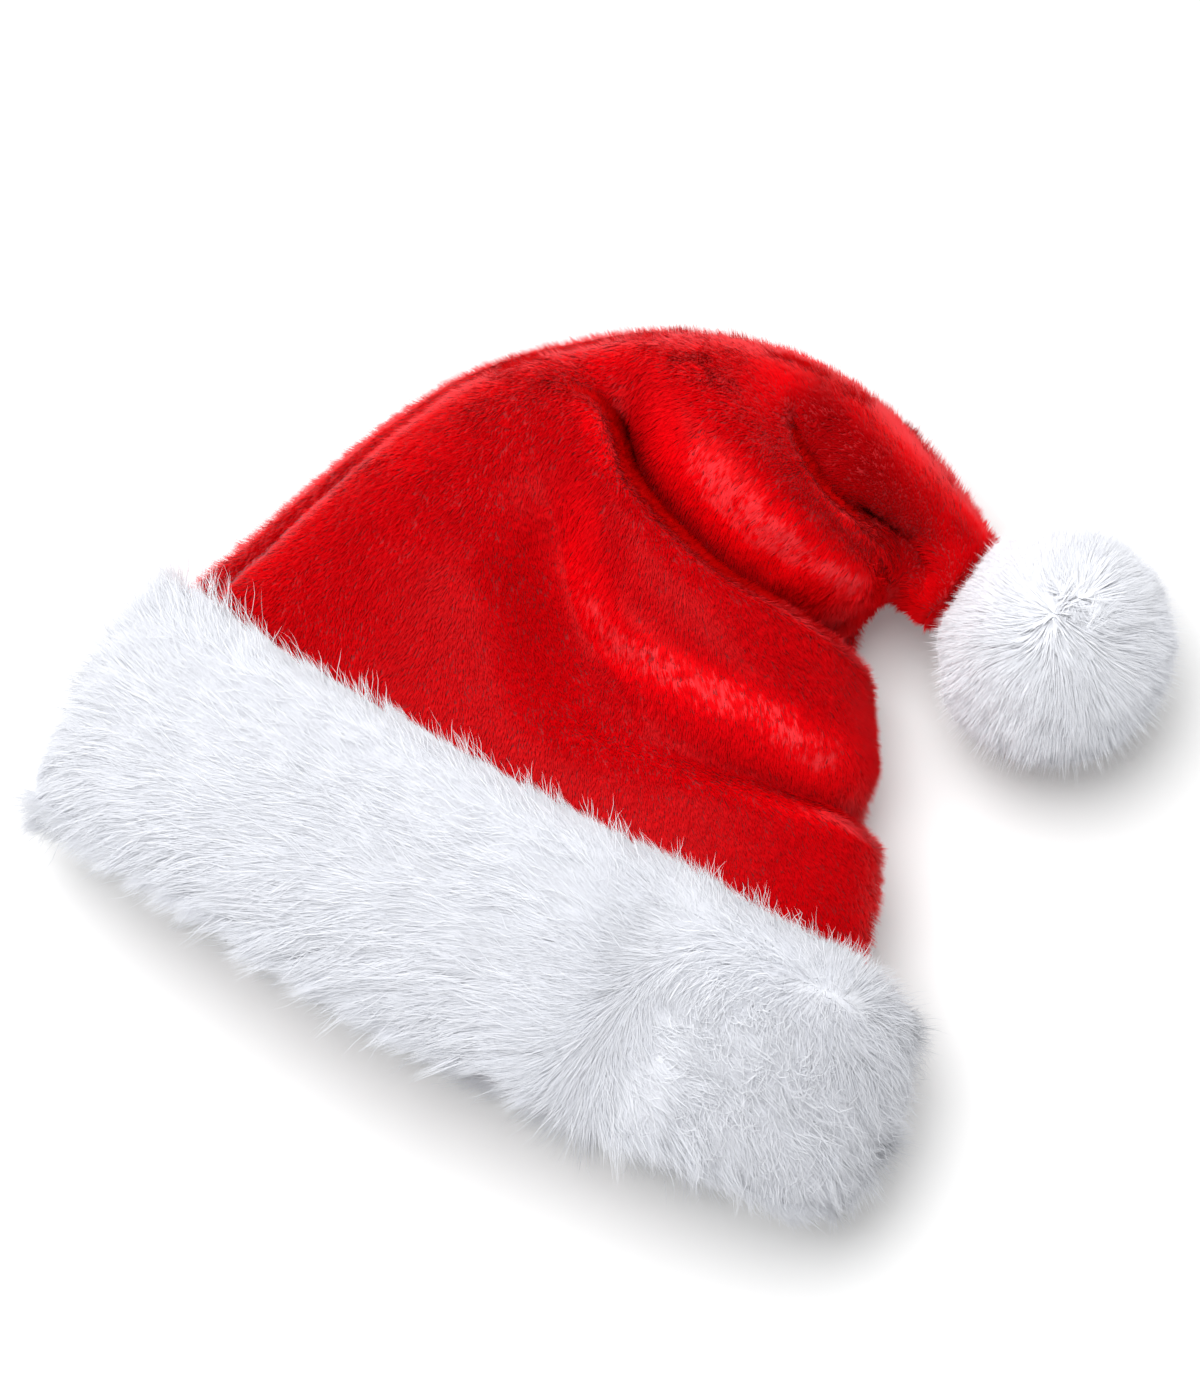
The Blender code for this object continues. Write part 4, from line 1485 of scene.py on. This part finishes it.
@dataclass
class Pompom:
    """The white fur ball on the tip, parted near its top, with its fur pressed where it rests."""

    crown: Crown
    head: float = 0.0365
    node_head: float = 0.0320
    seat_depth: float = 0.0010
    seat_clearance: float = 0.0003
    parting: tuple[float, float, float] = (-0.02, 0.0, 1.0)
    shift: tuple[float, float, float] = (-0.0017, 0.0031, 0.0)  # how far the fur has pulled the ball round
    rows: int = 40
    columns: int = 64
    blades: int = 68000
    loose_each: int = 10  # one loose hair for so many blades
    seed: int = 41
    swirl: Stir = Stir(0.35, 0.01, 42)
    mottle: Stir = Stir(0.4, 0.010, 44)

    def middle(self) -> Array:
        """The ball's middle, one seat beyond the gathered tip.

        Returns:
            A point.
        """
        crown = self.crown
        seat = crown.tip_radius * crown.cap_bulge + crown.cloth + self.seat_clearance
        reach = seat + self.node_head - self.seat_depth
        return crown.tip_middle() + DESIGN_ORIGIN + crown.tip_axes()[0] * reach + self.shift

    def ball(self) -> Grid:
        """The head: points at even steps of polar angle and of turn on a sphere.

        Returns:
            Its grid.
        """
        polar = np.linspace(0.02, math.pi - 0.02, self.rows)[:, None]
        turn = np.linspace(0, TURN, self.columns, endpoint=False)[None, :]
        parts = np.broadcast_arrays(np.sin(polar) * np.cos(turn), np.sin(polar) * np.sin(turn), np.cos(polar))
        return Grid(self.middle() + np.stack(parts, -1) * self.head, loop=True)

    def build(self, fur: bpy.types.Material, backing: bpy.types.Material) -> None:
        """Builds the head and its fur in place of the pompom's node.

        Args:
            fur: The fur's material.
            backing: The head's material.
        """
        ball = self.ball()
        head = add_piece("pompom_head", ball.points.reshape(-1, 3), ball.corners().reshape(-1, 4), [backing])
        cover = add_blades("pompom_fur", self.fur(ball), fur)
        for piece in (head, cover):
            stand_for("pompom")

    def fur(self, ball: Grid) -> Blades:
        """The fur, combed away from the parting and shorter towards the tip, with loose hairs all over.

        Args:
            ball: The head's grid.

        Returns:
            Its blades.
        """
        roots = ball.scatter(self.blades, lambda place, normal: np.ones(len(place)), self.seed)
        roots.normal = unit(roots.place - self.middle())
        parting = unit(np.array(self.parting))
        comb = across(-np.broadcast_to(parting, roots.place.shape), roots.normal) + self.swirl.at(roots.place)
        tone = np.clip(0.5 + self.mottle.level(roots.place), 0, 1)
        towards_tip = -(roots.normal * self.crown.tip_axes()[0]).sum(-1)
        scale = 1 - 0.45 * ramp(towards_tip, 0.3, 0.7)
        standing = -0.3 * np.exp(-((1 - roots.normal @ parting) / 0.10))
        blades = BALL_FUR.grow(roots, comb, tone, scale, standing)
        blades = blades + BALL_BASE.grow(roots, comb, tone, scale, standing)
        few = slice(None, None, self.loose_each)
        loose = BALL_LOOSE.grow(roots.keep(few), comb[few], tone[few], scale[few], standing[few])
        return blades + loose


@dataclass
class Studio:
    """A pale floor, soft light from above and the photograph's camera."""

    azimuth: float = math.radians(28.5)
    elevation: float = math.radians(80)
    distance: float = 1.2
    scale: float = 0.000345  # metres a pixel at the hat
    image_height: int = 1400
    target: tuple[float, float, float] = (-0.0059, -0.0020, 0.040)
    floor_size: float = 12.0
    floor_grey: float = 0.88
    floor_glow: float = 0.10
    sky: float = 0.45
    key_size: float = 2.0
    key_energy: float = 69
    key_place: tuple[float, float, float] = (-0.52, 0.60, 2.4)  # to the picture's right, up in it, and height

    def build(self) -> None:
        """Builds the floor, the lights, the world and the camera."""
        self.camera()
        self.floor()
        self.lights()

    def camera(self) -> None:
        """The camera, whose lens gives the photograph's scale at the hat."""
        cos, sin = math.cos(self.elevation), math.sin(self.elevation)
        back = Vector((math.sin(self.azimuth) * cos, -math.cos(self.azimuth) * cos, sin))
        data = bpy.data.cameras.new("photo_camera")
        data.lens = data.sensor_width * self.distance / (self.image_height * self.scale)
        camera = bpy.data.objects.new("photo_camera", data)
        camera.location = Vector(self.target) + back * self.distance
        camera.rotation_mode = "QUATERNION"
        camera.rotation_quaternion = (-back).to_track_quat("-Z", "Y")
        bpy.context.scene.collection.objects.link(camera)
        bpy.context.scene.camera = camera

    def floor(self) -> None:
        """A pale floor that glows a little, so that it stays white behind the hat."""
        half = self.floor_size / 2
        mesh = bpy.data.meshes.new("floor")
        corners = [(-half, -half, FLOOR), (half, -half, FLOOR), (half, half, FLOOR), (-half, half, FLOOR)]
        mesh.from_pydata(corners, [], [(0, 1, 2, 3)])
        material, _, shader = new_material("pale_floor")
        shader.inputs["Base Color"].default_value = (*[self.floor_grey] * 3, 1)
        shader.inputs["Roughness"].default_value = 0.9
        shader.inputs["Specular IOR Level"].default_value = 0.1
        shader.inputs["Emission Color"].default_value = (1, 1, 1, 1)
        shader.inputs["Emission Strength"].default_value = self.floor_glow
        mesh.materials.append(material)
        floor = bpy.data.objects.new("floor", mesh)
        bpy.context.scene.collection.objects.link(floor)

    def lights(self) -> None:
        """A large soft key light above the picture's upper left, and an even world."""
        world = bpy.data.worlds.new("studio")
        world.use_nodes = True
        background = world.node_tree.nodes["Background"]
        background.inputs["Color"].default_value = (1, 1, 1, 1)
        background.inputs["Strength"].default_value = self.sky
        bpy.context.scene.world = world
        right = Vector((math.cos(self.azimuth), math.sin(self.azimuth), 0))
        up = Vector((-math.sin(self.azimuth), math.cos(self.azimuth), 0))
        key = bpy.data.lights.new("key", "AREA")
        key.shape = "DISK"
        key.size = self.key_size
        key.energy = self.key_energy
        lamp = bpy.data.objects.new("key", key)
        over, ahead, height = self.key_place
        place = Vector(self.target) + right * over + up * ahead + Vector((0, 0, height))
        lamp.location = place
        lamp.rotation_mode = "QUATERNION"
        lamp.rotation_quaternion = (Vector(self.target) - place).to_track_quat("-Z", "Y")
        bpy.context.scene.collection.objects.link(lamp)
        bpy.context.scene.view_settings.view_transform = "Standard"


# The red pile's tone carries the painted light and shade of Crown.dress, and its lightest blades turn pinker
# as a painted sheen.
RED_PILE = BladeFinish(
    name="red_pile",
    root=(0.80, 0.0, 0.002),
    tip=(0.95, 0.001, 0.005),
    dark=0.30,
    light=1.22,
    roughness=0.40,
    gloss=0.08,
    gloss_tint=(1.0, 0.40, 0.42),
    lightest_and_sheen=(0.99, 0.080, 0.095),
)
RED_SKIN = ClothFinish("red_skin", (0.30, 0.0, 0.002), (0.60, 0.0, 0.005), 40, 900, 0.0006, 0.8, 0.0)
RED_LINING = ClothFinish("red_lining", (0.34, 0.05, 0.06), (0.45, 0.09, 0.10), 60, 1500, 0.0003, 0.9, 0.1)
CUFF_FUR = BladeFinish(
    name="white_fur",
    root=(0.865, 0.880, 0.925),
    tip=(0.875, 0.890, 0.935),
    dark=0.93,
    light=1.01,
    roughness=0.6,
    gloss=0.12,
    gloss_tint=(1.0, 1.0, 1.0),
    lightest_and_sheen=(0.88, 0.895, 0.94),
)
POMPOM_FUR = replace(
    CUFF_FUR,
    name="pompom_fur",
    root=(0.905, 0.918, 0.96),
    tip=(0.912, 0.925, 0.965),
    dark=0.97,
    lightest_and_sheen=(0.915, 0.928, 0.967),
)
FUR_BACKING = ClothFinish("fur_backing", (0.88, 0.90, 0.955), (0.895, 0.915, 0.965), 60, 1200, 0.0004, 0.9, 0)


def main() -> None:
    """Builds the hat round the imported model, and the studio round the hat."""
    logging.basicConfig(level=logging.INFO, format="%(name)s: %(message)s")
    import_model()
    crown = Crown()
    plush = [finish.material() for finish in (RED_PILE, RED_SKIN, RED_LINING)]
    for panel in crown.panels():
        crown.build(panel, plush)
    backing = FUR_BACKING.material()
    Cuff(crown).build(CUFF_FUR.material(), backing)
    Pompom(crown).build(POMPOM_FUR.material(), backing)
    Studio().build()


if __name__ == "__main__":
    main()
